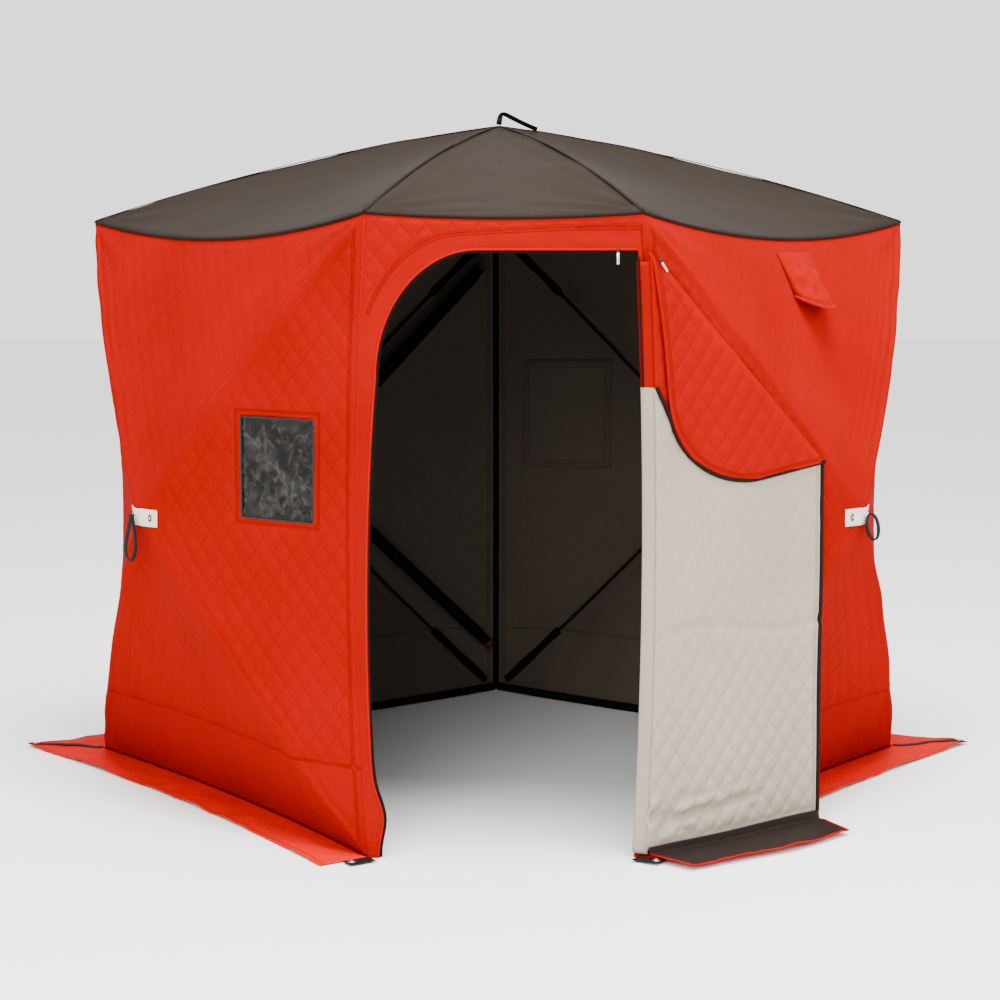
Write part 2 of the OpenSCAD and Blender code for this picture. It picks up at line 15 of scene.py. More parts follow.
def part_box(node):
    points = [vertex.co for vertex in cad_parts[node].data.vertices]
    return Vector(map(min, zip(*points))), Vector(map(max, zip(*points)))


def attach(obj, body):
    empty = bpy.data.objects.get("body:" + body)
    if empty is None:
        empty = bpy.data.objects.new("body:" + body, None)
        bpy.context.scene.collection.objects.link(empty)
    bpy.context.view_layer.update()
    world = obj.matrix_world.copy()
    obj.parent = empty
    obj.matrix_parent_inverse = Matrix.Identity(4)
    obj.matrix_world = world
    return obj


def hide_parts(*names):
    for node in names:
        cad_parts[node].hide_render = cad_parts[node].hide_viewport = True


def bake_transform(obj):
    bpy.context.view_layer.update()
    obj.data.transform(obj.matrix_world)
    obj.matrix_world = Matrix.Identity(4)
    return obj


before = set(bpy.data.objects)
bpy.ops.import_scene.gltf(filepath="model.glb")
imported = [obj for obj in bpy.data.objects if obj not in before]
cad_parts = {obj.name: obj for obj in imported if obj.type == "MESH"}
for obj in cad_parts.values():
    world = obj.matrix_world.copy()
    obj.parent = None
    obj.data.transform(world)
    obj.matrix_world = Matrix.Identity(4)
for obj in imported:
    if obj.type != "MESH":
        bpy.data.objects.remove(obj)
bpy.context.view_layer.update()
scene = bpy.context.scene

# %% [markdown]
# The camera stands about six metres in front of the door at eye height, looks slightly down
# and turns a hair to the right. A long lens keeps the walls from leaning outwards. It is
# placed from the door front, the flattest face of the hut.

# %% Camera
FRONT_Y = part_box("front_header")[0][1]
TURN = 0.0107
STAND = Vector((-0.0102, -5.897))
camera = bpy.data.objects.new("camera", bpy.data.cameras.new("camera"))
scene.collection.objects.link(camera)
camera.data.lens = 80.41
camera.location = (
    STAND.x * math.cos(TURN) + STAND.y * math.sin(TURN),
    -STAND.x * math.sin(TURN) + STAND.y * math.cos(TURN) + FRONT_Y,
    1.5953,
)
camera.rotation_euler = (math.radians(90 - 6.045), 0, -TURN)
scene.camera = camera
print("door front at y =", round(FRONT_Y, 4))

# %% [markdown]
# A finish is a small tree of nodes around one Principled shader. Colours are written as the
# hex values a colour picker shows, so one function turns them into the linear values a
# shader wants. One more function adds any node: its inputs are plain values or other nodes.

# %% Node helpers
def linear(hex_colour):
    """An sRGB hex value as a linear colour with full alpha."""
    parts = [int(hex_colour[i : i + 2], 16) / 255 for i in (1, 3, 5)]
    return [c / 12.92 if c <= 0.04045 else ((c + 0.055) / 1.055) ** 2.4 for c in parts] + [1]


def add(tree, kind, inputs=(), **settings):
    """Adds a node; an input is a value, a socket, or a node whose first output is used."""
    node = tree.nodes.new("ShaderNode" + kind)
    for key, value in settings.items():
        setattr(node, key, value)
    for socket, value in inputs.items() if isinstance(inputs, dict) else enumerate(inputs):
        if isinstance(value, bpy.types.Node):
            value = value.outputs[0]
        if isinstance(value, bpy.types.NodeSocket):
            tree.links.new(value, node.inputs[socket])
        else:
            node.inputs[socket].default_value = value
    return node


def start_finish(name, colour, roughness, **sockets):
    """A material whose Principled shader has these constants on its own sockets."""
    material = bpy.data.materials.new(name)
    material.use_nodes = True
    shader = material.node_tree.nodes["Principled BSDF"]
    shader.inputs["Base Color"].default_value = linear(colour)
    shader.inputs["Roughness"].default_value = roughness
    for socket, value in sockets.items():
        shader.inputs[socket.replace("_", " ")].default_value = value
    return material, material.node_tree, shader


# %% [markdown]
# Quilted cloth is two layers of polyester with wadding between them, held together by lines
# of stitches that cross in diamonds. Each line is a narrow valley and each diamond a soft
# cushion. The finish draws the valleys from the cloth's own flat coordinates, in metres, so
# the diamonds stay square to the cut however the cloth is pulled. The stitching lines lean
# 50 degrees and lie 52 mm apart. The thread of such cloth is 0.4 mm, too fine to show here,
# so the weave is drawn at 3 mm.

# %% Cloth finish
QUILT_PITCH = 0.052
QUILT_LEAN = math.radians(50)
ACROSS = [
    (math.sin(QUILT_LEAN) / QUILT_PITCH, side * math.cos(QUILT_LEAN) / QUILT_PITCH, 0)
    for side in (-1, 1)
]
WEAVE = 0.003
SEAM_PAIR = 0.004  # half the distance between the two rows of a double seam


def cloth_finish(name, colour, shade_and_blotch_colour, roughness, quilting=0.0, crinkle=0.5, gloss=0.1):
    """Woven cloth: quilting and crinkle are the heights in mm of its cushions and creases."""
    material, tree, shader = start_finish(
        name, colour, roughness, Sheen_Weight=0.03, Sheen_Roughness=0.5,
        Sheen_Tint=linear(colour), Specular_IOR_Level=gloss
    )
    flat = add(tree, "UVMap", uv_map="cloth")
    place = add(tree, "TexCoord").outputs["Object"]
    rows = [
        add(
            tree,
            "Math",
            [add(tree, "VectorMath", [flat, d], operation="DOT_PRODUCT").outputs["Value"], 0.5],
            operation="PINGPONG",
        )
        for d in ACROSS
    ]
    nearest = add(tree, "Math", rows, operation="MINIMUM")
    amount = add(tree, "Attribute", attribute_name="quilt").outputs["Fac"]
    puff = add(tree, "Math", [nearest, 0.5], operation="POWER")
    line = add(tree, "MapRange", [nearest, 0, 0.05, 1, 0], interpolation_type="SMOOTHSTEP")
    line = add(tree, "Math", [line, amount], operation="MULTIPLY")
    seam = add(tree, "Attribute", attribute_name="stitch").outputs["Fac"]
    seam = add(tree, "Math", [seam, SEAM_PAIR], operation="SUBTRACT")
    seam = add(tree, "Math", [seam], operation="ABSOLUTE")
    seam = add(tree, "MapRange", [seam, 0, 0.003, 1, 0], interpolation_type="SMOOTHSTEP")
    weave = [
        add(
            tree,
            "TexWave",
            {"Vector": flat.outputs[0], "Scale": math.tau / 20 / WEAVE},
            wave_type="BANDS",
            bands_direction=axis,
        )
        for axis in "XY"
    ]
    weave = add(tree, "Math", [w.outputs["Fac"] for w in weave], operation="MULTIPLY")
    creases = add(
        tree,
        "TexNoise",
        {"Vector": place, "Scale": 28.0, "Detail": 5.0, "Roughness": 0.6, "Distortion": 0.9},
    ).outputs["Fac"]
    blotch = add(tree, "TexNoise", {"Vector": place, "Scale": 3.0, "Detail": 3.0}).outputs["Fac"]
    # heights in millimetres
    cushion = add(tree, "Math", [puff, amount], operation="MULTIPLY")
    height = add(tree, "Math", [cushion, quilting, 0], operation="MULTIPLY_ADD")
    height = add(tree, "Math", [weave, 0.12, height], operation="MULTIPLY_ADD")
    height = add(tree, "Math", [creases, crinkle * 2, height], operation="MULTIPLY_ADD")
    height = add(tree, "Math", [seam, -1.6, height], operation="MULTIPLY_ADD")
    bump = add(tree, "Bump", {"Height": height.outputs[0], "Distance": 0.001, "Strength": 0.9})
    tree.links.new(bump.outputs[0], shader.inputs["Normal"])
    # Stitch lines and seam rows are darkened towards the second colour: painted shade in their
    # valleys. Random blotches darken it too, as uneven tone.
    dark = add(tree, "Math", [line, 0.15], operation="MULTIPLY")
    dark = add(tree, "Math", [seam, 0.26, dark], operation="MULTIPLY_ADD")
    uneven = add(tree, "MapRange", [blotch, 0.35, 0.7, 0, 0.16])
    dark = add(tree, "Math", [dark, uneven], operation="ADD", use_clamp=True)
    shade = add(
        tree,
        "Mix",
        {0: dark.outputs[0], 6: linear(colour), 7: linear(shade_and_blotch_colour)},
        data_type="RGBA",
    )
    tree.links.new(shade.outputs[2], shader.inputs["Base Color"])
    return material


# Red quilted polyester shell: matt, a soft bloom at grazing angles from its fuzzy yarn.
red_quilt = cloth_finish(
    "red_quilted_polyester", "#880100", "#4a0100", 0.8, quilting=2.1, crinkle=2.0, gloss=0.015
)
# Coated lining: the same quilting seen from inside, flatter, and a dark warm grey that
# looks nearly black in the dim hut.
black_lining = cloth_finish(
    "black_coated_lining", "#51483f", "#302a24", 0.62, quilting=1.0, gloss=0.05
)
# Pale grey lining of the door: brushed polyester, slightly warm.
grey_lining = cloth_finish(
    "grey_brushed_lining", "#988d7e", "#5b5248", 0.8, quilting=2.0, crinkle=1.5
)
# Dark grey roof: tightly woven oxford with a dull coating, a little shinier than the walls.
roof_oxford = cloth_finish("grey_coated_oxford", "#241e19", "#120f0c", 0.6, crinkle=0.9, gloss=0.02)
# Snow skirts: single-layer red oxford, thinner and more creased than the walls.
skirt_oxford = cloth_finish("red_skirt_oxford", "#bc0502", "#5a0101", 0.7, crinkle=2.4, gloss=0.02)
# The skirts' inner side and the door's bottom band: brown-black coating.
dark_oxford = cloth_finish("brown_black_oxford", "#1b130f", "#100c0a", 0.6, crinkle=1.0)
# Thin red nylon of the vent: light and full of fine creases.
vent_nylon = cloth_finish("thin_red_nylon", "#880100", "#4a0100", 0.6, crinkle=1.3, gloss=0.015)
# Reinforcing patch: pale grey coated cloth.
grey_patch = cloth_finish("pale_grey_patch", "#ddd3c9", "#a89e95", 0.55, crinkle=0.3)
print("cloth finishes:", len(bpy.data.materials))

# %% [markdown]
# The hard finishes are few. Fibreglass rods are smooth and black with a thin gloss. Hubs and
# sliders are moulded nylon, a little rough from the mould. Webbing is woven in ribs about
# 2 mm wide that run across the strap. Window vinyl is clear, soft and never flat, so its
# ripples break the reflections. Zinc pulls and brass grommets are plain metals.

# %% Hard finishes
def grained(name, colour, roughness, grain, depth, kind="TexNoise", **sockets):
    """A finish with one fine pattern: grain is its size and depth its height, in metres."""
    material, tree, shader = start_finish(name, colour, roughness, **sockets)
    place = add(tree, "TexCoord").outputs["Object"]
    grains = add(tree, kind, {"Vector": place, "Scale": 1 / grain})
    bump = add(tree, "Bump", {"Height": grains.outputs[0], "Distance": depth, "Strength": 1.0})
    tree.links.new(bump.outputs[0], shader.inputs["Normal"])
    wear = add(tree, "TexNoise", {"Vector": place, "Scale": 9.0, "Detail": 4.0}).outputs["Fac"]
    base = linear(colour)
    worn = [c * 1.25 + 0.0008 for c in base[:3]] + [1]
    shade = add(tree, "Mix", {0: wear, 6: base, 7: worn}, data_type="RGBA")
    tree.links.new(shade.outputs[2], shader.inputs["Base Color"])
    return material


# Pultruded fibreglass with a painted skin: smooth, black, glossy.
fibreglass = grained("black_fibreglass", "#070708", 0.3, 0.004, 0.00008, Specular_IOR_Level=0.25)
# Injection-moulded nylon: fine sparkle from the mould's texture.
hub_nylon = grained(
    "moulded_black_nylon", "#0e0e0f", 0.45, 0.0025, 0.00015, Specular_IOR_Level=0.25
)
# Sleeves and padding: coarse black weave.
black_nylon = grained("black_padded_nylon", "#090808", 0.8, 0.004, 0.0004, Specular_IOR_Level=0.08)
# Polypropylene webbing: ribs across the strap.
webbing = grained(
    "black_webbing", "#0c0c0c", 0.7, 0.004, 0.0005, "TexVoronoi", Specular_IOR_Level=0.12
)
# Dark brown bound edges.
binding = grained("brown_black_binding", "#170b09", 0.7, 0.004, 0.0003, Specular_IOR_Level=0.05)
# Red welts: the shell's red in a tighter tape. The brace bars' caps are a darker red.
red_binding = grained("red_welt_tape", "#880100", 0.8, 0.004, 0.0003, Specular_IOR_Level=0.015)
cap_red = grained("red_cap_cloth", "#520504", 0.6, 0.004, 0.0003)
# Nickel-plated zinc: bright and slightly worn.
nickel = grained("nickel_plated_zinc", "#c9c7c4", 0.28, 0.006, 0.0001, Metallic=1.0)
# Soft window vinyl: clear, but coloured nearly black as painted shade for the dim inside seen
# through it, and rippled. Its paler streaks are painted glints: reflections on its creases.
VINYL_DARK, VINYL_PAINTED_GLINT = "#0b0907", "#37322c"
vinyl, tree, shader = start_finish(
    "clear_window_vinyl", VINYL_DARK, 0.16, Alpha=0.85, Specular_IOR_Level=0.22, Coat_Weight=0.04
)
place = add(tree, "TexCoord").outputs["Object"]
ripple = add(tree, "TexNoise", {"Vector": place, "Scale": 13.0, "Detail": 1.0})
ripple = add(tree, "Bump", {"Height": ripple.outputs[0], "Distance": 0.003, "Strength": 0.8})
tree.links.new(ripple.outputs[0], shader.inputs["Normal"])
painted_glint = {"Vector": place, "Scale": 30.0, "Detail": 6.0, "Distortion": 1.4}
painted_glint = add(tree, "TexNoise", painted_glint).outputs["Fac"]
painted_glint = add(tree, "MapRange", [painted_glint, 0.50, 0.72, 0, 1]).outputs[0]
shade = {0: painted_glint, 6: linear(VINYL_DARK), 7: linear(VINYL_PAINTED_GLINT)}
shade = add(tree, "Mix", shade, data_type="RGBA")
tree.links.new(shade.outputs[2], shader.inputs["Base Color"])
print("finishes:", len(bpy.data.materials))

# %% [markdown]
# The whole cloth shape hangs on a few points: five corners in plan, a hub pushed out of the
# middle of each wall, and the roof's top. Seams between two corners are pulled inwards by
# the tension, eaves sag, and bottom edges bow in. A hump is the curve each of them follows:
# nothing at its ends and everything in its middle.

# %% The hut's skeleton
EAVE = 1.726
HUB_Z = 0.867
HUB_OUT = 0.269
WALL_T = 0.008
ROD_BOW, RIB_BOW = 0.026, 0.032
EAVE_SAG, FRONT_SAG = 0.062, 0.014
CORNER_PULL, FRONT_PULL, BASE_PULL = 0.074, 0.035, 0.038
TOP = Vector((0, FRONT_Y + 1.291, 2.030))
corners = [
    Vector((x, y + FRONT_Y))
    for x, y in ((-0.366, 0), (-1.301, 1.377), (0, 2.394), (1.301, 1.377), (0.366, 0))
]


def hump(t):
    return 4 * t * (1 - t)


def mix(a, b, t):
    return a * (1 - t) + b * t


def ease(x, low, high):
    """0 below low, 1 above high, smooth between; low above high turns it round."""
    t = min(1, max(0, (x - low) / (high - low)))
    return t * t * (3 - 2 * t)


def rough(x, y, z):
    """Smooth noise between about -1 and 1."""
    return noise.noise(Vector((x, y, z)))


def outward(a, b):
    d = (b - a).normalized()
    return Vector((-d.y, d.x, 0))


normals = [outward(corners[w], corners[w + 1]) for w in range(4)]
hubs = [
    ((corners[w] + corners[w + 1]) / 2).to_3d() + normals[w] * HUB_OUT + Vector((0, 0, HUB_Z))
    for w in range(4)
]
pulls = [
    (hubs[0].to_2d() - corners[0]).normalized() * FRONT_PULL,
    Vector((CORNER_PULL, 0)),
    Vector((0, -CORNER_PULL)),
    Vector((-CORNER_PULL, 0)),
    (hubs[3].to_2d() - corners[4]).normalized() * FRONT_PULL,
]
around = [Vector((0, -1, 0))] + normals + [Vector((0, -1, 0))]
inward = [-(m + n) / (1 + m.dot(n)) for m, n in zip(around, around[1:])]


def seam(c, t):
    return (corners[c] + pulls[c] * hump(t) * (1.1 - 0.2 * t)).to_3d() + Vector((0, 0, EAVE * t))


def eave(a, b, t, sag=EAVE_SAG):
    return mix(corners[a], corners[b], t).to_3d() + Vector((0, 0, EAVE - sag * hump(t)))


def foot(w, t):
    return mix(corners[w + 1], corners[w], t).to_3d() - normals[w] * BASE_PULL * hump(t)


def wall_point(w, p, q):
    """Wall w at p across and q up, each from -1 to 1 with the hub at 0, 0."""
    s = max(abs(p), abs(q))
    if s < 1e-9:
        return hubs[w].copy()
    low = 0.45 if q < -abs(p) else 0.6
    if abs(q) >= abs(p):
        t = (p / s + 1) / 2
        edge = eave(w + 1, w, t) if q > 0 else foot(w, t)
    else:
        t = (q / s + 1) / 2
        edge = seam(w if p > 0 else w + 1, t)
    return mix(hubs[w], edge, s) + normals[w] * ROD_BOW * hump(s) * (1 - low * hump(t))


print("hubs at", [[round(x, 3) for x in h] for h in hubs])

# %% [markdown]
# A sheet of cloth starts as a flat square grid. Holes are cut while it is still flat, because
# straight cuts are easy there, and then each vertex is moved to its place in the hut. The
# function that places it also says where the vertex lay on the flat cloth, how strongly it
# is quilted, how far it is from a seam, and how far wrinkles lift it. The cushions of the
# quilting are real geometry too, so that the outline and the light both show them.

# %% Sheet from a flat grid
PUFF = 0.0032


def cushion(u, v):
    """Height of the quilting at a flat place, from 0 on a stitch line to 1."""
    a, b = (abs(math.sin(math.pi * (u * d[0] + v * d[1]))) for d in ACROSS)
    return math.sqrt(a * b)


def region(faces):
    """Faces with their edges and vertices, as a cut wants them."""
    edges, verts = {e for f in faces for e in f.edges}, {v for f in faces for v in f.verts}
    return faces + list(edges) + list(verts)


def cut_hole(bm, p0, p1, q0, q1):
    """Cuts a rectangle out of the flat grid with four straight cuts."""
    for at, direction in (((p0, 0, 0), (1, 0, 0)), ((p1, 0, 0), (1, 0, 0)),
                          ((0, q0, 0), (0, 1, 0)), ((0, q1, 0), (0, 1, 0))):
        near = [
            f for f in bm.faces
            if p0 - 0.05 < f.calc_center_median().x < p1 + 0.05
            and q0 - 0.05 < f.calc_center_median().y < q1 + 0.05
        ]
        bmesh.ops.bisect_plane(bm, geom=region(near), dist=1e-5, plane_co=at, plane_no=direction)
    inside = [
        f for f in bm.faces
        if p0 < f.calc_center_median().x < p1 and q0 < f.calc_center_median().y < q1
    ]
    bmesh.ops.delete(bm, geom=inside, context="FACES")


def drape(bm, place):
    """Moves each flat vertex to its place and keeps its flat cloth coordinates."""
    uv = bm.loops.layers.uv.new("cloth")
    quilt = bm.verts.layers.float.new("quilt")
    stitch = bm.verts.layers.float.new("stitch")
    flat, lift = {}, {}
    for v in bm.verts:
        v.co, flat[v], v[quilt], v[stitch], lift[v] = place(v.co.x, v.co.y)
    for f in bm.faces:
        f.smooth = True
        for loop in f.loops:
            loop[uv].uv = flat[loop.vert]
    bm.normal_update()
    for v in bm.verts:
        lift[v] += v[quilt] * PUFF * cushion(*flat[v])
        v.co = v.co + v.normal * lift[v]
    return bm


def grid(columns, rows, holes=()):
    bm = bmesh.new()
    bmesh.ops.create_grid(bm, x_segments=columns, y_segments=rows, size=1)
    for hole in holes:
        cut_hole(bm, *hole)
    return bm


def finish_piece(name, bm, finishes, body="shell", stands_for=(), thick=0.0, inside=0):
    """Makes the object, gives it a thickness inwards, and says what it rides on."""
    mesh = bpy.data.meshes.new(name)
    bm.to_mesh(mesh)
    bm.free()
    piece = bpy.data.objects.new(name, mesh)
    scene.collection.objects.link(piece)
    for material in finishes:
        mesh.materials.append(material)
    if thick:
        shell = piece.modifiers.new("thickness", "SOLIDIFY")
        shell.thickness = thick
        shell.offset = -1
        shell.material_offset = inside
    if body:
        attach(piece, body)
    if stands_for:
        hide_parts(*stands_for)
    print(name, len(mesh.polygons), "faces")
    return piece


# %% [markdown]
# Each wall is one cloth, dished outwards to its hub. Rods press a crease along both
# diagonals, and the pull along them gathers fine ripples beside the crease and a fan of
# wrinkles at the top corners. Below a seam a quarter of a metre up the cloth is a plain
# band without quilting. The grid is dense enough, about 9 mm, to carry the cushions.

# %% Walls
HALF_WIDE, HALF_TALL = 0.83, 0.86
BAND = 0.25
SIDES = ("left_front", "left_back", "right_back", "right_front")


def joined(sheets):
    """One bmesh made of several sheets."""
    whole = bmesh.new()
    for bm in sheets:
        mesh = bpy.data.meshes.new("sheet")
        bm.to_mesh(mesh)
        bm.free()
        whole.from_mesh(mesh)
        bpy.data.meshes.remove(mesh)
    return whole


def window_hole(w, along, centre_z, wide, high):
    """The grid rectangle of a window in the panel beside corner w of wall w."""
    reach = (hubs[w].to_2d() - corners[w]).length
    pull = (corners[w] + pulls[w] - hubs[w].to_2d()).length - reach
    p = [(reach - along - side * wide / 2) / (reach + pull) for side in (1, -1)]
    q = [(centre_z + side * high / 2 - HUB_Z) / (EAVE - HUB_Z) for side in (-1, 1)]
    return p[0], p[1], q[0], q[1]


front_window = window_hole(0, 0.313, 1.038, 0.263, 0.278)
back_window = window_hole(2, 0.290, 1.052, 0.282, 0.350)
vent_hole = (-0.03, 0.09, 0.80, 0.92)
holes = {0: [front_window], 2: [back_window], 3: [vent_hole]}


def frame_distance(p, q, hole, margin):
    """How far a place is from a stitched rectangle round a hole, in metres."""
    dx = max(hole[0] - p, p - hole[1]) * HALF_WIDE - margin
    dy = max(hole[2] - q, q - hole[3]) * (EAVE - HUB_Z) - margin
    return abs(max(dx, dy))


def fan(point, centre, up, count, phase, reach):
    """A fan of wrinkles that spreads from a corner where cloth is pulled."""
    away = point - centre
    d = away.length
    if d < 1e-6:
        return 0
    turn = math.atan2(away.z, away.to_2d().length) if up else math.atan2(away.y, away.x)
    return math.sin(turn * count + phase) * math.exp(-d / reach) * ease(d, 0.02, 0.09)


def wall_place(w):
    def place(p, q):
        point = wall_point(w, p, q)
        u, v = p * HALF_WIDE, HUB_Z + q * (EAVE - HUB_Z)
        s = max(abs(p), abs(q))
        edge = (1 - s) * HALF_WIDE
        calm = ease(edge, 0.0, 0.06)
        crease = abs(abs(p) - abs(q)) * 0.6
        along = (abs(p) + abs(q)) / 2
        upper, plain = q > abs(p), ease(v, BAND + 0.006, BAND + 0.02)
        quilt = plain * ease(edge, 0.008, 0.03) * ease(s, 0.11, 0.16)
        quilt *= 0.22 if w == 3 and upper else 0.55 if upper else 1
        quilt *= 1 - 0.9 * (crease < 0.022)
        side_seam = abs(edge - 0.028) if abs(p) > abs(q) else 1
        stitch = min(abs(v - BAND), side_seam)
        for hole in holes.get(w, ())[:1]:
            if w != 3:
                stitch = min(stitch, frame_distance(p, q, hole, 0.016))
                quilt *= ease(frame_distance(p, q, hole, 0), 0.012, 0.03)
        wobble = rough(along * 4, crease * 3, w * 5.3)
        lift = 0.0036 * math.sin(crease * math.tau / 0.036 + 4 * wobble) * math.exp(
            -crease / (0.075 if w == 3 and upper else 0.045)
        ) * ease(s, 0.16, 0.35)
        lift += 0.0042 * rough(u * 3.1, v * 3.1, w * 7.7)
        lift += 0.0022 * rough(u * 9, v * 9, w * 3.1 + 4)
        if v < BAND:
            lift += 0.002 * math.sin(u * 37 + 3 * rough(u * 3, v * 2, w))
        for c, phase in ((w, 0.6), (w + 1, 2.1)):
            lift += 0.006 * fan(point, seam(c, 1), True, 16, phase, 0.16)
        return point, (u, v), quilt, stitch, lift * calm * ease(s, 0.1, 0.3)

    return place


for w, side in enumerate(SIDES):
    ends = {0: ("door_side", "corner_side"), 1: ("front_side", "back_side"),
            2: ("back_side", "front_side"), 3: ("corner_side", "door_side")}[w]
    bm = drape(grid(172, 172, holes.get(w, ())), wall_place(w))
    finish_piece(
            side + "_quilted_wall", bm, [red_quilt, black_lining],
            stands_for=[f"{side}_wall_{n}" for n in ("upper", "lower") + ends],
            thick=WALL_T, inside=1,
        )

# %% [markdown]
# The roof is five wedges sewn together over bent rods. A chain of vertices spun a full turn
# gives a disc with a clean middle, and the disc is then stretched so that each fifth of it
# fills one wedge. Seams run down the ribs, and cloth fans into wrinkles where a corner pulls.

# %% Roof
RIB_STEPS, TURN_STEPS = 84, 300
GATHER = 0.05  # spacing and reach of the ripples beside a rib
EDGE_UP = Vector((0, 0, 0.0065))


def roof_place(x, y):
    s = math.hypot(x, y)
    turn = (-math.atan2(y, x) / math.tau * 5) % 5
    k = int(turn + 1e-6) % 5
    t = max(0.0, turn - k) if turn - k < 1 else 0.0
    a, b = k, (k + 1) % 5
    edge = eave(a, b, t, FRONT_SAG if k == 4 else EAVE_SAG) + EDGE_UP
    point = mix(TOP, edge, s) + Vector((0, 0, RIB_BOW * hump(s) * (1 - 0.75 * hump(t))))
    wide = (corners[a] - corners[b]).length
    rib = min(t, 1 - t) * wide * s
    calm = ease((1 - s) * 1.1, 0, 0.04) * ease(s, 0.03, 0.12)
    lift = 0.004 * noise.noise(point * 3.3) + 0.0015 * noise.noise(point * 11)
    gather = math.sin(rib * math.tau / GATHER + 3 * noise.noise(point * 4))
    lift += 0.0022 * gather * math.exp(-rib / GATHER)
    for c in (a, b):
        lift += 0.008 * fan(point, corners[c].to_3d() + Vector((0, 0, EAVE)), False, 15, c, 0.17)
    return point, (point.x, point.y), 0, abs((1 - s) * 1.3 - 0.016), lift * calm


bm = bmesh.new()
middle = bmesh.ops.create_vert(bm, co=(0, 0, 0))["vert"][0]
tip = bmesh.ops.create_vert(bm, co=(1, 0, 0))["vert"][0]
bmesh.ops.subdivide_edges(bm, edges=[bm.edges.new((middle, tip))], cuts=RIB_STEPS - 1)
bmesh.ops.spin(
    bm, geom=bm.verts[:] + bm.edges[:], cent=(0, 0, 0), axis=(0, 0, 1),
    angle=math.tau, steps=TURN_STEPS, use_merge=True,
)
bmesh.ops.remove_doubles(bm, verts=bm.verts[:], dist=1e-5)
if sum(f.normal.z for f in bm.faces) > 0:  # the wedges run clockwise, which turns faces over
    bmesh.ops.reverse_faces(bm, faces=bm.faces[:])
drape(bm, roof_place)
if sum(f.normal.z for f in bm.faces) < 0:
    bmesh.ops.reverse_faces(bm, faces=bm.faces[:])
roof = finish_piece(
    "roof_canopy", bm, [roof_oxford, black_lining], thick=0.004, inside=1,
    stands_for=["roof_" + n for n in ("front", *SIDES)],
)

# %% [markdown]
# The door front is a frame of cloth round the doorway: two narrow jambs and a header with a
# rounded corner. It is one ribbon. Its inner edge follows the doorway and its outer edge
# follows the two corner seams and the short eave, so a grid fits it with no waste. A double
# row of stitches runs 55 mm from the doorway, and quilting starts beyond it.

# %% Door front
OPEN_LEFT, OPEN_RIGHT, OPEN_TOP, OPEN_BOW = -0.340, 0.352, 1.632, 0.028
RIGHT_BOW = 0.022
ROUND_W, ROUND_Z = 0.270, EAVE * 0.75
ROUND_H = OPEN_TOP - ROUND_Z
PARTS = (0.36, 0.52, 0.64)  # where along the ribbon the jamb, the corner and the top end
FACING_LOW = 1.27  # the hinge side is faced with red above this height


def hinge_side(z):
    """The doorway's right edge, which the open door's weight pulls outwards."""
    return Vector((OPEN_RIGHT + RIGHT_BOW * hump(min(1, z / OPEN_TOP)), FRONT_Y, z))


def doorway(k):
    """The doorway's edge, from the left foot at 0 over the top to the right foot at 1."""
    if k < PARTS[0]:
        t = k / PARTS[0]
        loose = 0.023 * math.exp(-(((t * ROUND_Z - 0.11) / 0.07) ** 2))
        return Vector((OPEN_LEFT - OPEN_BOW * hump(t) + loose, FRONT_Y, t * ROUND_Z))
    if k < PARTS[1]:
        a = (k - PARTS[0]) / (PARTS[1] - PARTS[0]) * math.pi / 2
        across, up = ROUND_W * (1 - math.cos(a)), ROUND_H * math.sin(a)
        return Vector((OPEN_LEFT + across, FRONT_Y, ROUND_Z + up))
    if k < PARTS[2]:
        t = (k - PARTS[1]) / (PARTS[2] - PARTS[1])
        return Vector((mix(OPEN_LEFT + ROUND_W, OPEN_RIGHT, t), FRONT_Y, OPEN_TOP))
    return hinge_side(mix(OPEN_TOP, 0, (k - PARTS[2]) / (1 - PARTS[2])))


def front_rim(k):
    """The outer edge of the door front that faces doorway(k)."""
    if k < PARTS[0]:
        return seam(0, 0.75 * k / PARTS[0])
    if k < PARTS[1]:
        g = (k - PARTS[0]) / (PARTS[1] - PARTS[0])
        if g < 0.6:
            return seam(0, 0.75 + 0.25 * g / 0.6)
        return eave(0, 4, 0.3 * (g - 0.6) / 0.4, FRONT_SAG)
    if k < PARTS[2]:
        return eave(0, 4, 0.3 + 0.7 * (k - PARTS[1]) / (PARTS[2] - PARTS[1]), FRONT_SAG)
    return seam(4, 1 - (k - PARTS[2]) / (1 - PARTS[2]))


def front_place(p, q):
    k, r = (p + 1) / 2, (q + 1) / 2
    a, b = doorway(k), front_rim(k)
    point, wide = mix(a, b, r), (b - a).length
    d = r * wide
    calm = ease(min(r, 1 - r) * wide, 0, 0.03)
    quilt = ease(d, 0.062, 0.07) * ease(wide - d, 0.004, 0.02)
    stitch = abs(d - 0.055) if wide > 0.075 else 1
    creased = point.x > 0.2  # the open door's weight creases its own side
    creases = math.sin(point.z * 60 + 4 * noise.noise(point * 3)) * creased
    lift = 0.004 * noise.noise(point * 6) + 0.0025 * creases
    return point, (point.x, point.z), quilt, stitch, lift * calm


front = finish_piece(
    "door_front_frame", drape(grid(300, 44), front_place), [red_quilt, black_lining],
    thick=WALL_T, inside=1,
    stands_for=["front_header", "front_jamb_left", "front_jamb_right"],
)

# %% [markdown]
# Seams, welts, rods, straps and bound edges are all one kind of shape: a small outline
# carried along a path. The outline starts as a circle and may be squared and flattened for
# webbing. It is extruded ring by ring, and each ring is turned to face along the path.

# %% Sweep along a path
def frames(path, side, closed=False):
    """At each point of a path: the point, its sideways direction and its upward one."""
    out = []
    for i, p in enumerate(path):
        before = path[i - 1] if i or closed else p
        after = path[(i + 1) % len(path)] if i < len(path) - 1 or closed else p
        ahead = (after - before).normalized()
        across = ahead.cross(side).normalized()
        out.append((p, across, across.cross(ahead)))
    return out


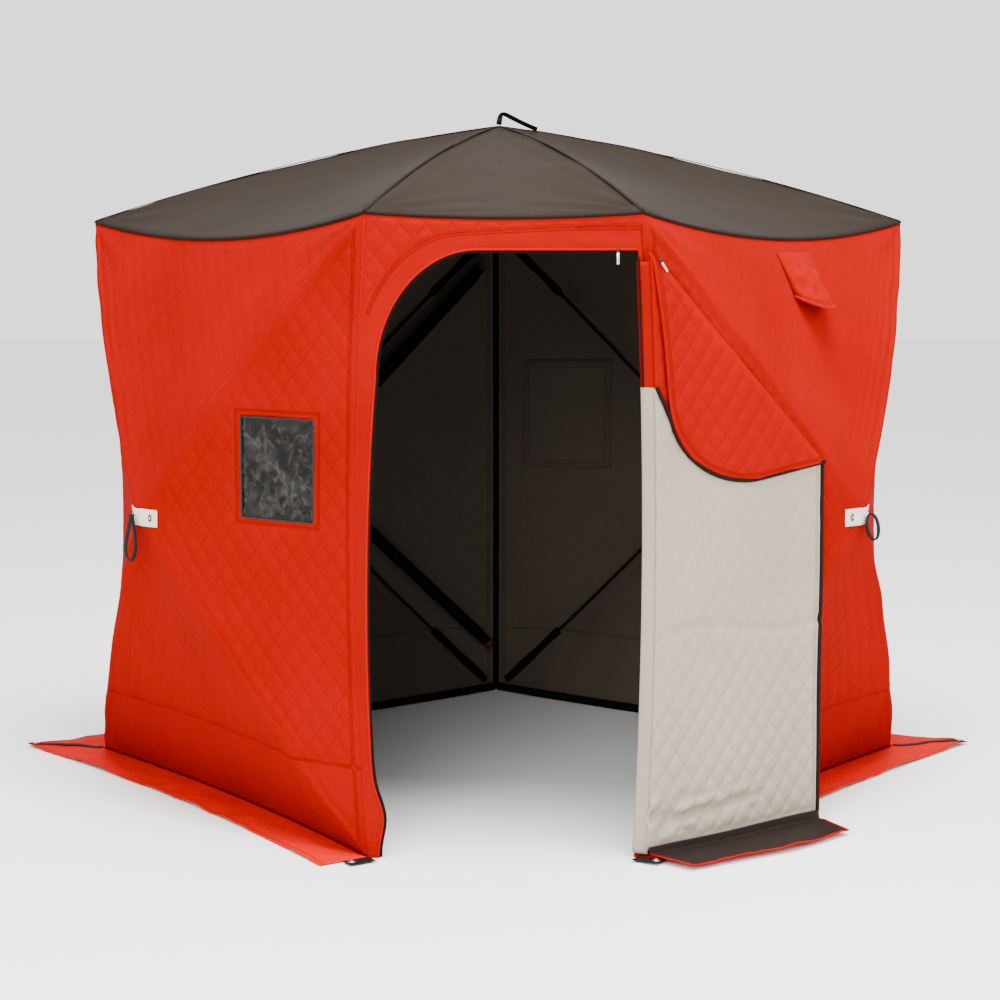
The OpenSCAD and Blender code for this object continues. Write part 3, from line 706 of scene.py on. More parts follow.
def sweep(bm, path, a, b=None, side=Vector((0, 0, 1)), squareness=1.0, count=10, closed=False):
    """Carries an oval of half sizes a across and b along side down the path."""
    ring = bmesh.ops.create_circle(bm, segments=count, radius=1, cap_ends=not closed)["verts"]
    ring.sort(key=lambda v: math.atan2(v.co.y, v.co.x))
    shape = []
    for v in ring:
        shape.append([math.copysign(abs(c) ** squareness, c) for c in v.co.xy])
    stations = frames(path, side, closed)
    wide = a if callable(a) else lambda k: a
    high = (b if callable(b) else lambda k: b) if b is not None else wide

    def set_ring(verts, i):
        p, across, along = stations[i]
        k = i / max(1, len(stations) - 1)
        for v, (x, y) in zip(verts, shape):
            v.co = p + across * x * wide(k) + along * y * high(k)

    set_ring(ring, 0)
    first = list(ring)
    edges = [bm.edges.get((ring[i], ring[(i + 1) % count])) for i in range(count)]
    for i in range(1, len(stations)):
        made = bmesh.ops.extrude_edge_only(bm, edges=edges)["geom"]
        fresh = {v for v in made if isinstance(v, bmesh.types.BMVert)}
        others = [[e.other_vert(v) for e in v.link_edges] for v in ring]
        ring = [next(v for v in row if v in fresh) for row in others]
        set_ring(ring, i)
        edges = [bm.edges.get((ring[j], ring[(j + 1) % count])) for j in range(count)]
    if closed:
        for j in range(count):
            bm.faces.new((ring[j], ring[(j + 1) % count], first[(j + 1) % count], first[j]))
    else:
        bm.faces.new(ring)
    return bm


def circle(centre, across, along, radius, count):
    """Points of a circle in the plane of two directions."""
    turns = [math.tau * i / count for i in range(count)]
    return [centre + (across * math.cos(t) + along * math.sin(t)) * radius for t in turns]


def finish_solid(name, bm, finish, body="shell", stands_for=()):
    """Merges doubles, turns all faces outwards, shades them smooth and makes the object."""
    bmesh.ops.remove_doubles(bm, verts=bm.verts[:], dist=1e-6)
    bmesh.ops.recalc_face_normals(bm, faces=bm.faces[:])
    for f in bm.faces:
        f.smooth = len(f.verts) < 6
    return finish_piece(name, bm, [finish], body, stands_for)


def steps(function, count, low=0.0, high=1.0):
    return [function(low + (high - low) * i / count) for i in range(count + 1)]


# %% [markdown]
# Where two cloths meet, the maker sews in a welt, a thin roll that hides the raw edges. The
# corner seams get red welts and the eaves dark ones. Inside, a tape covers each of the three rear
# corner seams.
# The doorway's edge is bound in red, with dark piping high on its hinge side. A black zip
# tape stands in from the left jamb and the header, so the closed door meets it.

# %% Welts and tapes
UP = Vector((0, 0, 1))
bm = bmesh.new()
for c in range(5):
    sweep(bm, steps(lambda t: seam(c, t), 40, 0.002, 0.998), 0.0016, side=normals[min(c, 3)])
finish_solid("corner_seam_welts", bm, red_binding)

bm = bmesh.new()
for a in range(5):
    sag = FRONT_SAG if a == 4 else EAVE_SAG
    path = steps(lambda t: eave(a, (a + 1) % 5, t, sag) + Vector((0, 0, 0.002)), 36)
    sweep(bm, path, 0.0042)
finish_solid("eave_welts", bm, binding)

bm = bmesh.new()
for c in range(5):
    rib = lambda s: mix(TOP, eave(c, c, 0) + EDGE_UP, s) + UP * RIB_BOW * hump(s)
    sweep(bm, steps(rib, 48, 0.004, 0.998), 0.0055, 0.0013, squareness=0.7)
finish_solid("roof_rib_seams", bm, binding)

bm = bmesh.new()
for c in range(1, 4):
    inner = inward[c].normalized() * (WALL_T + 0.004)
    sweep(bm, steps(lambda t: seam(c, t) + inner, 40, 0.004, 0.985), 0.011, 0.0012,
          side=inward[c], squareness=0.6)
finish_solid("inner_seam_tapes", bm, black_nylon)

bm = bmesh.new()
for w in range(4):
    inner = -normals[w] * (WALL_T + 0.003) + UP * 0.017
    sweep(bm, steps(lambda t: foot(w, t) + inner, 40, 0.012, 0.988), 0.0012, 0.015,
          side=UP, squareness=0.5)
finish_solid("inner_bottom_hems", bm, black_nylon)

bm = bmesh.new()
rim = steps(lambda k: doorway(k) + Vector((0, 0.002, 0)), 160, 0.0, PARTS[2])
sweep(bm, rim, 0.0032, 0.0045, side=Vector((0, 1, 0)))
finish_solid("doorway_bound_edge", bm, red_binding)
bm = bmesh.new()
rim = steps(lambda z: hinge_side(z) - Vector((0.001, 0.0065, 0)), 40, FACING_LOW, 1.612)
sweep(bm, rim, 0.0032, 0.0032, side=Vector((0, 1, 0)))
finish_solid("doorway_hinge_piping", bm, binding)


def tape_place(p, q):
    k, r = (p + 1) / 2 * PARTS[2], (q + 1) / 2
    a, nearby = doorway(k), doorway(k + 0.002) - doorway(max(0, k - 0.002))
    away = Vector((nearby.z, 0, -nearby.x)).normalized()
    point = a + away * mix(-0.003, 0.010, r) + Vector((0, 0.011, 0))
    return point, (point.x, point.z), 0, abs(r * 0.013 - 0.008), 0


bm = drape(grid(160, 3), tape_place)
zip_tape = finish_piece("doorway_zip_tape", bm, [black_nylon], thick=0.0015)

# %% [markdown]
# Snow skirts are single flaps of oxford sewn to the bottom edge and laid out on the ice, so
# that snow can be shovelled on them. They lie nearly flat, rise in low waves and meet in a
# mitre at each corner. The wave's height depends only on the place on the ground, so two
# neighbours have the same height along their mitre.

# %% Snow skirts
SKIRT_W, SKIRT_MID, SKIRT_END = 0.198, 0.168, 0.152


def ground_wave(x, y):
    wave = rough(x * 5.5, y * 5.5, 2.4) + 0.5 * rough(x * 14, y * 14, 8)
    return 0.011 * max(0.0, wave + 0.35)


def skirt_place(w):
    first, last = (SKIRT_END if w == 0 else SKIRT_W), (SKIRT_END if w == 3 else SKIRT_W)
    start = normals[0] if w == 0 else -inward[w]
    end = normals[3] if w == 3 else -inward[w + 1]

    def place(p, q):
        t, r = (p + 1) / 2, (q + 1) / 2
        base = mix(corners[w], corners[w + 1], t).to_3d()
        near = base - normals[w] * (BASE_PULL * hump(t) - 0.004)
        far = mix(corners[w].to_3d() + start * first, corners[w + 1].to_3d() + end * last, t)
        far -= normals[w] * (SKIRT_W - SKIRT_MID + BASE_PULL) * 0.7 * hump(t)
        point = mix(near, far, r)
        point.z = 0.0035 + ground_wave(point.x, point.y) * ease(r, 0.05, 0.6)
        wide = (far - near).length
        hem = abs((1 - r) * wide - 0.016)
        return point, (t * 1.66, r * wide), 0, hem, 0

    return place


for w, side in enumerate(SIDES):
    skirt = finish_piece(
        side + "_snow_skirt", drape(grid(120, 16), skirt_place(w)), [skirt_oxford, dark_oxford],
        thick=0.0016, inside=1, stands_for=[side + "_skirt"],
    )

# %% [markdown]
# At each corner a strap with a metal eyelet lies on the skirt, ready for an ice anchor. The
# strap is a flat sweep that follows the skirt's waves, and the eyelet is a small ring.

# %% Anchor tabs and eyelets
TABS = ((0.082, 0.046), (0.246, 0.026), (0.236, 0.026), (0.246, 0.026), (0.082, 0.046))


def tab_line(c):
    """Where a tab starts and which way it points."""
    if c in (0, 4):
        n = normals[0] if c == 0 else normals[3]
        shift = Vector((n.y, -n.x, 0)) * (-0.030 if c == 0 else 0.030)
        return corners[c].to_3d() + n * 0.006 + shift, n
    return corners[c].to_3d() - inward[c].normalized() * 0.010, -inward[c].normalized()


straps, rings = bmesh.new(), bmesh.new()
for c, (length, wide) in enumerate(TABS):
    start, ahead = tab_line(c)

    def on_skirt(d):
        p = start + ahead * d
        p.z = 0.0052 + ground_wave(p.x, p.y) * ease(d, 0.01, 0.12)
        return p

    path = steps(on_skirt, 14, 0, length - 0.002)
    sweep(straps, path, wide / 2, 0.0011, squareness=0.4, count=12)
    eye = on_skirt(length - 0.018) + Vector((0, 0, 0.0022))
    path = circle(eye, Vector((1, 0, 0)), Vector((0, 1, 0)), 0.0082, 24)
    sweep(rings, path, 0.0034, 0.0014, closed=True)
for name, bm, finish, slot, node in (
    ("anchor_straps", straps, webbing, "black_webbing", "anchor_tabs"),
    ("anchor_eyelets", rings, nickel, "grommet_metal", "tab_grommets"),
):
    finish_solid(name, bm, finish, stands_for=[node])

# %% [markdown]
# Four rods run from each hub to the wall's corners, just inside the cloth, and their ends
# sit in flat sleeves sewn near the corners. Five more rods hold up the roof. A rod under
# load bows a little, so its path is a shallow arc.

# %% Rods and sleeves
ROD_R = 0.0055
ROD_BELOW = 0.0135  # from the roof's skin down to the middle of a roof rod
ROD_FROM, SLEEVE_FROM, SLEEVE_TO = 0.034, 0.725, 0.955


def rod_point(w, c, high, s):
    end = corners[c].to_3d() + Vector((0, 0, EAVE if high else 0))
    step = mix(-normals[w], inward[c], s)
    return (
        mix(hubs[w], end, s) + normals[w] * ROD_BOW * hump(s)
        + step * (WALL_T + 0.006 + ROD_R + 0.009 * (1 - s) ** 8)
        + Vector((0, 0, (-1 if high else 1) * s * s * 0.006))
    )


rods, sleeves = bmesh.new(), bmesh.new()
for w in range(4):
    for c in (w, w + 1):
        for high in (False, True):
            path = lambda s: rod_point(w, c, high, s)
            sweep(rods, steps(path, 24, ROD_FROM, SLEEVE_FROM), ROD_R, side=normals[w], count=12)
            path = steps(path, 12, SLEEVE_FROM + 0.001, SLEEVE_TO)
            gathered = lambda k: 0.016 * (0.9 + 0.1 * math.cos(k * 9))
            sweep(sleeves, path, gathered, 0.0061, side=normals[w], count=14)


def roof_rod(c):
    """The path of a roof rod, from the top to its corner."""
    end = corners[c].to_3d() + Vector((0, 0, EAVE))
    return lambda s: mix(TOP, end, s) + UP * (RIB_BOW * hump(s) - ROD_BELOW)


roof_rods = bmesh.new()
for c in range(5):
    sweep(roof_rods, steps(roof_rod(c), 24, 0.04, 0.925), ROD_R, count=12)
for name, bm, finish, slot, node in (
    ("bent_wall_rods", rods, fibreglass, "rod_fibreglass", "wall_rods"),
    ("sewn_rod_sleeves", sleeves, black_nylon, "black_nylon", "rod_end_sleeves"),
    ("bent_roof_rods", roof_rods, fibreglass, "rod_fibreglass", "roof_rods"),
):
    finish_solid(name, bm, finish, stands_for=[node])

# %% [markdown]
# A hub is a moulded nylon disc with a raised middle and one socket for each rod. The disc is
# a profile turned round its axis. The sockets are short tapered tubes aimed at the rods.

# %% Hubs
def turned(bm, profile, matrix, count=32):
    """Spins a profile of (radius, height) round its axis and puts it in place."""
    before = set(bm.verts)
    verts = [bmesh.ops.create_vert(bm, co=(r, 0, h))["vert"][0] for r, h in profile]
    edges = [bm.edges.new(pair) for pair in zip(verts, verts[1:])]
    bmesh.ops.spin(bm, geom=verts + edges, cent=(0, 0, 0), axis=(0, 0, 1), angle=math.tau,
                   steps=count, use_merge=True)
    made = [v for v in bm.verts if v not in before]
    bmesh.ops.transform(bm, matrix=matrix, verts=made)


def socket(k):
    """The radius of a hub's socket, which tapers outwards."""
    return 0.0095 - 0.002 * k


DISC = [(0, 0), (0.034, 0), (0.038, 0.003), (0.038, 0.022), (0.035, 0.026), (0.024, 0.026),
        (0.021, 0.028), (0.021, 0.029), (0.019, 0.030), (0, 0.030)]
bm = bmesh.new()
for w in range(4):
    turn = Vector((0, 0, 1)).rotation_difference(normals[w]).to_matrix().to_4x4()
    back = hubs[w] - normals[w] * (WALL_T + 0.045)
    turned(bm, DISC, Matrix.Translation(back) @ turn)
    for c in (w, w + 1):
        for high in (False, True):
            path = steps(lambda s: rod_point(w, c, high, s), 3, 0.028, 0.062)
            sweep(bm, path, socket, side=normals[w], count=14)
finish_solid(
    "moulded_wall_hubs", bm, hub_nylon, stands_for=["wall_hubs"]
)

bm = bmesh.new()
turned(bm, [(0, 0), (0.036, 0), (0.040, 0.003), (0.040, 0.031), (0.037, 0.034), (0.022, 0.034),
            (0.022, 0.038), (0.020, 0.040), (0, 0.040)],
       Matrix.Translation(TOP - Vector((0, 0, 0.064))))
for c in range(5):
    sweep(bm, steps(roof_rod(c), 3, 0.03, 0.062), socket, count=14)
finish_solid("moulded_roof_hub", bm, hub_nylon, stands_for=["roof_hub"])

# %% [markdown]
# Outside, a pale patch spreads each hub's load over the cloth, and a webbing loop through it
# is what a hand pulls to pop the wall out. The patch is a small grid that follows the wall.
# The loops are flat sweeps: the left one hangs long, the others are short.

# %% Hub patches and pull loops
PATCH = (0.092, 0.025)


def patch_place(w):
    def place(p, q):
        a, z = p * PATCH[0], q * PATCH[1]
        point = wall_point(w, a / HALF_WIDE, z / (EAVE - HUB_Z)) + normals[w] * 0.0036
        edge = min((1 - abs(p)) * PATCH[0], (1 - abs(q)) * PATCH[1])
        return point, (a, z), 0, abs(edge - 0.007), 0.0004 * noise.noise(point * 40)

    return place


patches = finish_piece(
    "hub_reinforcing_patches", joined(drape(grid(28, 12), patch_place(w)) for w in range(4)),
    [grey_patch], thick=0.0016, stands_for=["hub_patches"],
)

rings, loops = bmesh.new(), bmesh.new()
for w in range(4):
    n = normals[w]
    level = Vector((n.y, -n.x, 0))
    for side in (-1, 1):
        p = side * 0.062 / HALF_WIDE
        eye = wall_point(w, p, 0) + n * 0.0048
        sweep(rings, circle(eye, level, UP, 0.008, 20), 0.0028, 0.0012, side=n, closed=True)
    drop, reach = ((0.132, 0.034) if w == 0 else (0.074, 0.046))
    hang = hubs[w] + n * 0.0064 + UP * 0.006
    ring = []
    for i in range(32):
        g = math.tau * i / 32
        out = reach / 2 * (1 - math.cos(g)) * (0.55 + 0.45 * (1 - math.sin(g)) / 2)
        sway = level * 0.006 * math.sin(g * 2)
        ring.append(hang + n * out + UP * drop / 2 * (math.sin(g) - 1) + sway)
    sweep(loops, ring, 0.0021, 0.0095, side=level, squareness=0.45, count=12, closed=True)
finish_solid("patch_eyelets", rings, hub_nylon)
finish_solid("pull_loops", loops, webbing, stands_for=["pull_straps"])


def arch(t):
    bow = hump(t) * (1 - t)
    return TOP + Vector((0.122 * t - 0.016 * bow, 0,
                         0.0035 + 0.054 * (1 - t) ** 1.2 * (1 - math.exp(-11 * t)) - 0.014 * t))


tilt = Vector((-0.2, 0.5, 0.87))
bm = sweep(bmesh.new(), steps(arch, 32), 0.0105, 0.0012, side=tilt, squareness=0.4, count=12)
finish_solid("roof_pull_loop", bm, webbing, stands_for=["roof_strap"])

# %% [markdown]
# Two padded bars brace the left-back hub against the back corner. Each is a tube of foam in
# a black cover with a red cap at its far end. The cover is gathered at its ends, so the bar
# narrows there, and a few soft bulges keep it from looking like a pipe.

# %% Brace bars
KNEE = Vector((-0.705, FRONT_Y + 2.050, 0.876))
FAR = [Vector((-0.044, FRONT_Y + 2.290, 1.590)), Vector((-0.019, FRONT_Y + 2.300, 0.186))]
bars, caps = bmesh.new(), bmesh.new()
for end in FAR:
    long = (end - KNEE).length
    ahead = (end - KNEE).normalized()
    reach = lambda k: 0.021 * min(1, 0.72 + 6 * min(k, 1 - k)) * (1 + 0.02 * math.sin(k * 40))
    dome = lambda k: 0.0195 * math.sqrt(max(0.05, 1 - k ** 4))
    line, back = lambda d: KNEE + ahead * d, Vector((0, 1, 0))
    sweep(bars, steps(line, 60, 0.028, long - 0.022), reach, side=back, count=20)
    sweep(caps, steps(line, 6, long - 0.0215, long - 0.001), dome, side=back, count=20)
brace = finish_solid(
    "padded_brace_bars", bars, black_nylon, stands_for=["brace_bars"]
)
finish_solid("brace_bar_caps", caps, cap_red, stands_for=["brace_caps"])

bm = bmesh.new()
start = hubs[1] - normals[1] * (WALL_T + 0.049)
ahead = (KNEE - start).normalized()
sweep(bm, steps(lambda d: start + ahead * d, 8, 0, (KNEE - start).length - 0.016), 0.006, count=12)
finish_solid(
    "brace_link_rod", bm, fibreglass, stands_for=["brace_link"]
)

# %% [markdown]
# The windows are soft clear vinyl sewn behind the cloth, with a narrow black binding. Vinyl
# that is pulled from four sides ripples, so the pane is lifted by long diagonal waves. The
# back window has a cloth cover on the inside, held shut at its edges.

# %% Windows
def pane_place(w, hole, inset, grow=0.0, waves=1.0):
    def place(p, q):
        a = mix(hole[0] - grow / HALF_WIDE, hole[1] + grow / HALF_WIDE, (p + 1) / 2)
        b = mix(hole[2] - grow / HALF_TALL, hole[3] + grow / HALF_TALL, (q + 1) / 2)
        point = wall_point(w, a, b) - normals[w] * inset
        edge = (1 - p * p) * (1 - q * q)
        ripple = math.sin((p * 3 + q * 5) + 3 * rough(p * 1.5, q * 1.5, w + 3.0))
        ripple += 0.6 * math.sin(p * 11 - q * 7 + 4 * rough(p * 2, q * 2, 9))
        stitch = abs(min(1 - abs(p), 1 - abs(q)) * 0.14 - 0.014)
        ripple += 0.8 * rough(p * 5, q * 4, w * 2.0) + 0.4 * rough(p * 11, q * 9, w)
        lift = 0.0032 * waves * ripple * ease(edge, 0, 0.5)
        return point, (a * HALF_WIDE, b * HALF_TALL), 0, stitch, lift

    return place


edges, sheets = bmesh.new(), []
for w, hole in ((0, front_window), (2, back_window)):
    sheets.append(drape(grid(48, 48), pane_place(w, hole, 0.0045, -0.001)))
    corner = [(hole[0], hole[2]), (hole[1], hole[2]), (hole[1], hole[3]), (hole[0], hole[3])]
    path = []
    for a, b in zip(corner, corner[1:] + corner[:1]):
        for i in range(14):
            spot = wall_point(w, mix(a[0], b[0], i / 14), mix(a[1], b[1], i / 14))
            path.append(spot - normals[w] * 0.002)
    sweep(edges, path, 0.0032, 0.0042, side=normals[w], closed=True)
panes = finish_piece(
    "window_vinyl", joined(sheets), [vinyl], stands_for=["window_panes"]
)
finish_solid("window_bound_edges", edges, hub_nylon)

cover = finish_piece(
    "inner_window_cover", drape(grid(40, 40), pane_place(2, back_window, 0.0115, 0.019, 0.7)),
    [black_lining], thick=0.0015, stands_for=["back_window_cover"],
)

# %% [markdown]
# The vent is a thin nylon chute over a hole high on the right wall. Its top and sides are
# sewn flat, and its mouth stands open downwards. Thin cloth creases everywhere, so this
# grid gets a strong crinkle, with a rolled hem round the mouth.

# %% Vent hood
VENT_OUT, VENT_DROP = 0.078, 0.035


def vent_point(u, v):
    s = mix(0.955, 0.795, v)
    t = 0.5 + (mix(0.445, 0.590, u) - 0.5) * (1 - 0.12 * v)
    p = (2 * t - 1) * s
    arc = math.sqrt(max(0.0, math.sin(math.pi * min(1, max(0, u)))))
    out = normals[3] * (0.003 + VENT_OUT * v * arc)
    return wall_point(3, p, s) + out - UP * VENT_DROP * v * v * arc


def vent_place(p, q):
    u, v = (p + 1) / 2, (1 - q) / 2
    point = vent_point(u, v)
    crinkle = rough(u * 4, v * 5, 3) + 0.6 * rough(u * 9, v * 7, 5)
    edge = ease(min(u, 1 - u), 0, 0.15) * ease(v, 0, 0.2) * ease(1 - v, 0.0, 0.15)
    lift = (0.007 * crinkle - 0.002) * edge
    return point, (u * 0.24, v * 0.2), 0, abs((1 - v) * 0.2 - 0.014), lift


# The chute's inside gets the brown-black oxford: painted shade in its open mouth.
vent = finish_piece("vent_chute", drape(grid(44, 36), vent_place), [vent_nylon, dark_oxford],
                    thick=0.0012, inside=1, stands_for=["vent_hood"])
bm = sweep(bmesh.new(), steps(lambda u: vent_point(u, 1), 30, 0.0, 1.0), 0.0036, side=UP)
finish_solid("vent_mouth_hem", bm, red_binding)

# %% [markdown]
# The door is one quilted leaf, red outside and pale grey inside, hung on the right jamb and
# folded back. Its own frame runs from the hinge line outwards, so the leaf is placed with
# three numbers: how far from the hinge, how high, and how far in front of that line. Its
# upper corner is folded down over the grey side, and the fold shows red.

# %% Door leaf
HINGE = Vector((0.358, FRONT_Y - 0.018, 0))
OPEN = math.radians(37)
DOOR_IN, DOOR_W, DOOR_TOP = 0.012, 0.672, 1.624
DOOR_LOW, HEM_RISE, FOLD = 0.028, 0.005, math.radians(41.5)
FOLD_LOW = DOOR_TOP - (DOOR_W - DOOR_IN) * math.tan(FOLD)
FACE = 0.0255  # distance of the leaf's grey side from the hinge plane


def on_door(x, z, off):
    along = Vector((math.cos(OPEN), math.sin(OPEN), 0))
    ahead = Vector((math.sin(OPEN), -math.cos(OPEN), 0))
    return HINGE + along * x + ahead * off + UP * z


def hung(x, z, off):
    """A place on the leaf, whose hinge edge follows the bowed side of the doorway."""
    near = max(0, 1 - (x - DOOR_IN) / 0.5)
    return on_door(x, z, off) + Vector((RIGHT_BOW * hump(min(1, z / OPEN_TOP)) * near * near, 0, 0))


ALONG = on_door(1, 0, 0) - on_door(0, 0, 0)
AHEAD = on_door(0, 0, 1) - on_door(0, 0, 0)


def fold_z(x):
    return DOOR_TOP - (x - DOOR_IN) * math.tan(FOLD)


def leaf_bulge(x, z):
    """How far the hanging leaf stands out of its own plane."""
    k, h = (x - DOOR_IN) / (DOOR_W - DOOR_IN), z / 1.6
    bulge = 0.007 * math.sin(k * 5 + 1.2) * math.sin(h * 7) + 0.009 * rough(k * 2.2, h * 4, 1.5)
    crease = -0.006 * math.exp(-(((z - 0.60 - 0.02 * math.sin(k * 6)) / 0.012) ** 2))
    return (bulge + crease) * ease(k, 0, 0.15) * ease(1 - k, -0.15, 0.12) - 0.004 * k * k


def leaf_place(p, q):
    x = mix(DOOR_IN, DOOR_W - 0.003, (p + 1) / 2)
    low, high = DOOR_LOW + HEM_RISE * (p + 1) / 2, fold_z(x) - 0.002
    z = mix(low, high, (q + 1) / 2)
    point = hung(x, z, FACE + leaf_bulge(x, z))
    edge = min(DOOR_W - x, z - low, high - z)
    quilt = ease(edge, 0.01, 0.03) * (0.55 + 0.9 * ease(z, 0.8, 0.3))
    strain = math.sin((x * 0.8 + z) * 55 + 4 * noise.noise(point * 5))
    lift = 0.0025 * strain * math.exp(-abs(z - 0.9) / 0.09)
    sag = z - 0.105 - 0.05 * x  # the slack above the ground falls into long flat folds
    crumple = rough(x * 7, sag * 34, 2.0) + 0.5 * rough(x * 17, sag * 60, 6.0)
    folds = 0.016 * crumple - 0.008 * math.exp(-((sag / 0.018) ** 2))
    lift += folds * math.exp(-((sag / 0.06) ** 2)) * ease(x, 0.66, 0.2)
    return point, (x, z), quilt, abs(DOOR_W - x - 0.022), lift * ease(edge, 0, 0.04)


bm = drape(grid(90, 150), leaf_place)
# Beside the hinge the upper leaf is faced with the shell's red, down to a slanting line
# that carries on the outline of the folded corner.
FACING_END = (0.0731, 1.1789)
line_end = hung(*FACING_END, FACE)
slant = ALONG * (FACING_LOW - FACING_END[1]) / (FACING_END[0] - DOOR_IN) + UP


def beside_hinge(f):
    spot = f.calc_center_median()
    return spot.z > 1.1 and (spot - HINGE).dot(ALONG) < 0.13


near = region([f for f in bm.faces if beside_hinge(f)])
bmesh.ops.bisect_plane(bm, geom=near, plane_co=line_end, plane_no=slant)
for f in bm.faces:
    spot = f.calc_center_median() - line_end
    if spot.dot(slant) > 0 and spot.z > 0.001 and spot.dot(ALONG) < 0.02:
        f.material_index = 1
leaf = finish_piece("door_leaf", bm, [grey_lining, red_quilt],
                    "door", ["door_panel"], thick=0.007, inside=1)

# %% [markdown]
# The folded corner is the leaf's rounded top corner, mirrored over the fold line. The grid
# runs along the fold, and from the fold to the mirrored outline, so the roll at the fold and
# the bound edge both get clean rows.

# %% Folded door corner
DOOR_GAP = 0.008
LINE = Vector((math.cos(FOLD), -math.sin(FOLD)))
PIVOT = Vector((DOOR_IN, DOOR_TOP))


def corner_outline(k):
    """The unfolded corner's edge: along the top, round the corner, then down."""
    arc_x, arc_z = ROUND_W - DOOR_GAP, ROUND_H - DOOR_GAP
    if k < 0.4:
        return Vector((mix(DOOR_IN, DOOR_W - arc_x, k / 0.4), DOOR_TOP))
    if k < 0.8:
        a = math.pi / 2 * (1 - (k - 0.4) / 0.4)
        return Vector((DOOR_W - arc_x * (1 - math.cos(a)), ROUND_Z + arc_z * math.sin(a)))
    return Vector((DOOR_W, mix(ROUND_Z, FOLD_LOW, (k - 0.8) / 0.2)))


def folded(point):
    v = point - PIVOT
    return PIVOT + 2 * v.dot(LINE) * LINE - v


def ear_place(p, q):
    k, r = (p + 1) / 2, (q + 1) / 2
    hinge = PIVOT + LINE * mix(0.0, (DOOR_W - DOOR_IN) / math.cos(FOLD), k)
    edge = folded(corner_outline(k))
    spot = mix(edge, hinge, r)
    d, back = (hinge - edge).length * (1 - r), (hinge - edge).length * r
    off = FACE + 0.0012 + 0.006 * ease(d, 0, 0.02) + max(-0.002, leaf_bulge(spot.x, spot.y))
    off += 0.010 * hump(min(1, d / 0.25)) * hump(k) * 0.6
    point = hung(spot.x, spot.y, off)
    quilt = ease(min(back, d), 0.012, 0.03)
    return point, (spot.x, spot.y), quilt, abs(back - 0.018), 0.002 * noise.noise(point * 9)


bm = drape(grid(110, 40), ear_place)
bmesh.ops.remove_doubles(bm, verts=bm.verts[:], dist=1e-5)
ear = finish_piece("folded_door_corner", bm, [red_quilt, grey_lining], "door",
                   ["door_corner_fold"], thick=0.004, inside=1)

bm = bmesh.new()
edge = [mix(Vector((DOOR_IN, FACING_LOW)), Vector(FACING_END), i / 8) for i in range(8)]
edge += [folded(corner_outline(i / 90)) for i in range(41, 91)]
path = [hung(p.x, p.y, FACE + 0.006 + leaf_bulge(p.x, p.y)) for p in edge]
sweep(bm, path, 0.0062, 0.005, side=AHEAD)
free = [(DOOR_W - 0.003, mix(DOOR_LOW + HEM_RISE, FOLD_LOW, i / 40)) for i in range(41)]
path = [on_door(x, z, FACE - 0.003 + leaf_bulge(x, z)) for x, z in free]
sweep(bm, path, 0.0095, 0.0062, side=AHEAD)
finish_solid("door_bound_edges", bm, binding, "door")

# %% [markdown]
# Below the leaf hangs a band of dark oxford and then the door's own snow skirt, which lies
# spread towards the front with its dark side up. A narrow gusset, red above and grey below,
# joins the leaf to the jamb. It belongs to both bodies, so it is attached to neither.

# %% Door skirt and gusset
SKIRT_OUTLINE = ((0.016, 0.0), (0.036, 0.148), (0.403, 0.172), (0.638, 0.138), (0.672, 0.0))


def skirt_reach(x):
    for (x0, y0), (x1, y1) in zip(SKIRT_OUTLINE, SKIRT_OUTLINE[1:]):
        if x <= x1:
            return mix(y0, y1, max(0, (x - x0) / (x1 - x0)))
    return 0.0


def door_skirt_place(p, q):
    k, r = (p + 1) / 2, (1 - q) / 2
    x = mix(0.017, DOOR_W - 0.002, k)
    top = DOOR_LOW + HEM_RISE * k
    fall, out = min(1, r / 0.25), max(0, (r - 0.25) / 0.75)
    z = mix(top + 0.006, 0.0145, fall) + ground_wave(x * 2.3, out * 0.6) * 0.6 * out
    off = FACE + 0.004 + leaf_bulge(x, top) * (1 - out) + 0.004 * fall
    off += max(0.002, skirt_reach(x)) * out
    return on_door(x, z, off), (x, r * 0.2), 0, abs((1 - r) * 0.2 - 0.012), 0


bm = drape(grid(70, 24), door_skirt_place)
skirt = finish_piece("door_snow_skirt", bm, [dark_oxford, skirt_oxford], "door",
                     ["door_skirt"], thick=0.0016, inside=1)
bm = bmesh.new()
hem = [door_skirt_place(2 * i / 60 - 1, -1)[0] for i in range(61)]
sweep(bm, hem, 0.0035, 0.0022)
finish_solid("door_skirt_hem", bm, red_binding, "door")


def gusset_place(p, q):
    t, z = (p + 1) / 2, mix(0.014, 1.60, (q + 1) / 2)
    a, b = hinge_side(z) + Vector((-0.006, 0.001, 0)), hung(DOOR_IN + 0.006, z, FACE - 0.004)
    point = mix(a, b, t) + Vector((0.35, -1, 0)).normalized() * 0.004 * hump(t)
    return point, (t * 0.045, z), 0, 1, 0


bm = drape(grid(10, 120), gusset_place)
bmesh.ops.solidify(bm, geom=bm.faces[:], thickness=0.002)
for f in bm.faces:
    f.smooth = True
    f.material_index = int(f.calc_center_median().z < FACING_LOW)
gusset = finish_piece("door_gusset", bm, [red_quilt, grey_lining], None)
leaf_edge = on_door(DOOR_IN + 0.006, 0.8, FACE - 0.004)
start, end = (OPEN_RIGHT, FRONT_Y + 0.001, 0.8), (OPEN_RIGHT, leaf_edge.y, 0.8)
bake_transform(gusset)

# %% [markdown]
# Zip pulls are small: a moulded slider and a flat metal tab that hangs from it. Each is a
# box with its edges rounded by a bevel.

# %% Zip pulls
def rounded_box(bm, size, matrix, radius=0.0012):
    made = bmesh.ops.create_cube(bm, size=1, matrix=matrix @ Matrix.Diagonal((*size, 1)))["verts"]
    edges = list({e for v in made for e in v.link_edges})
    bmesh.ops.bevel(
        bm, geom=edges, offset=radius, segments=2, profile=0.5, affect="EDGES", material=-1
    )


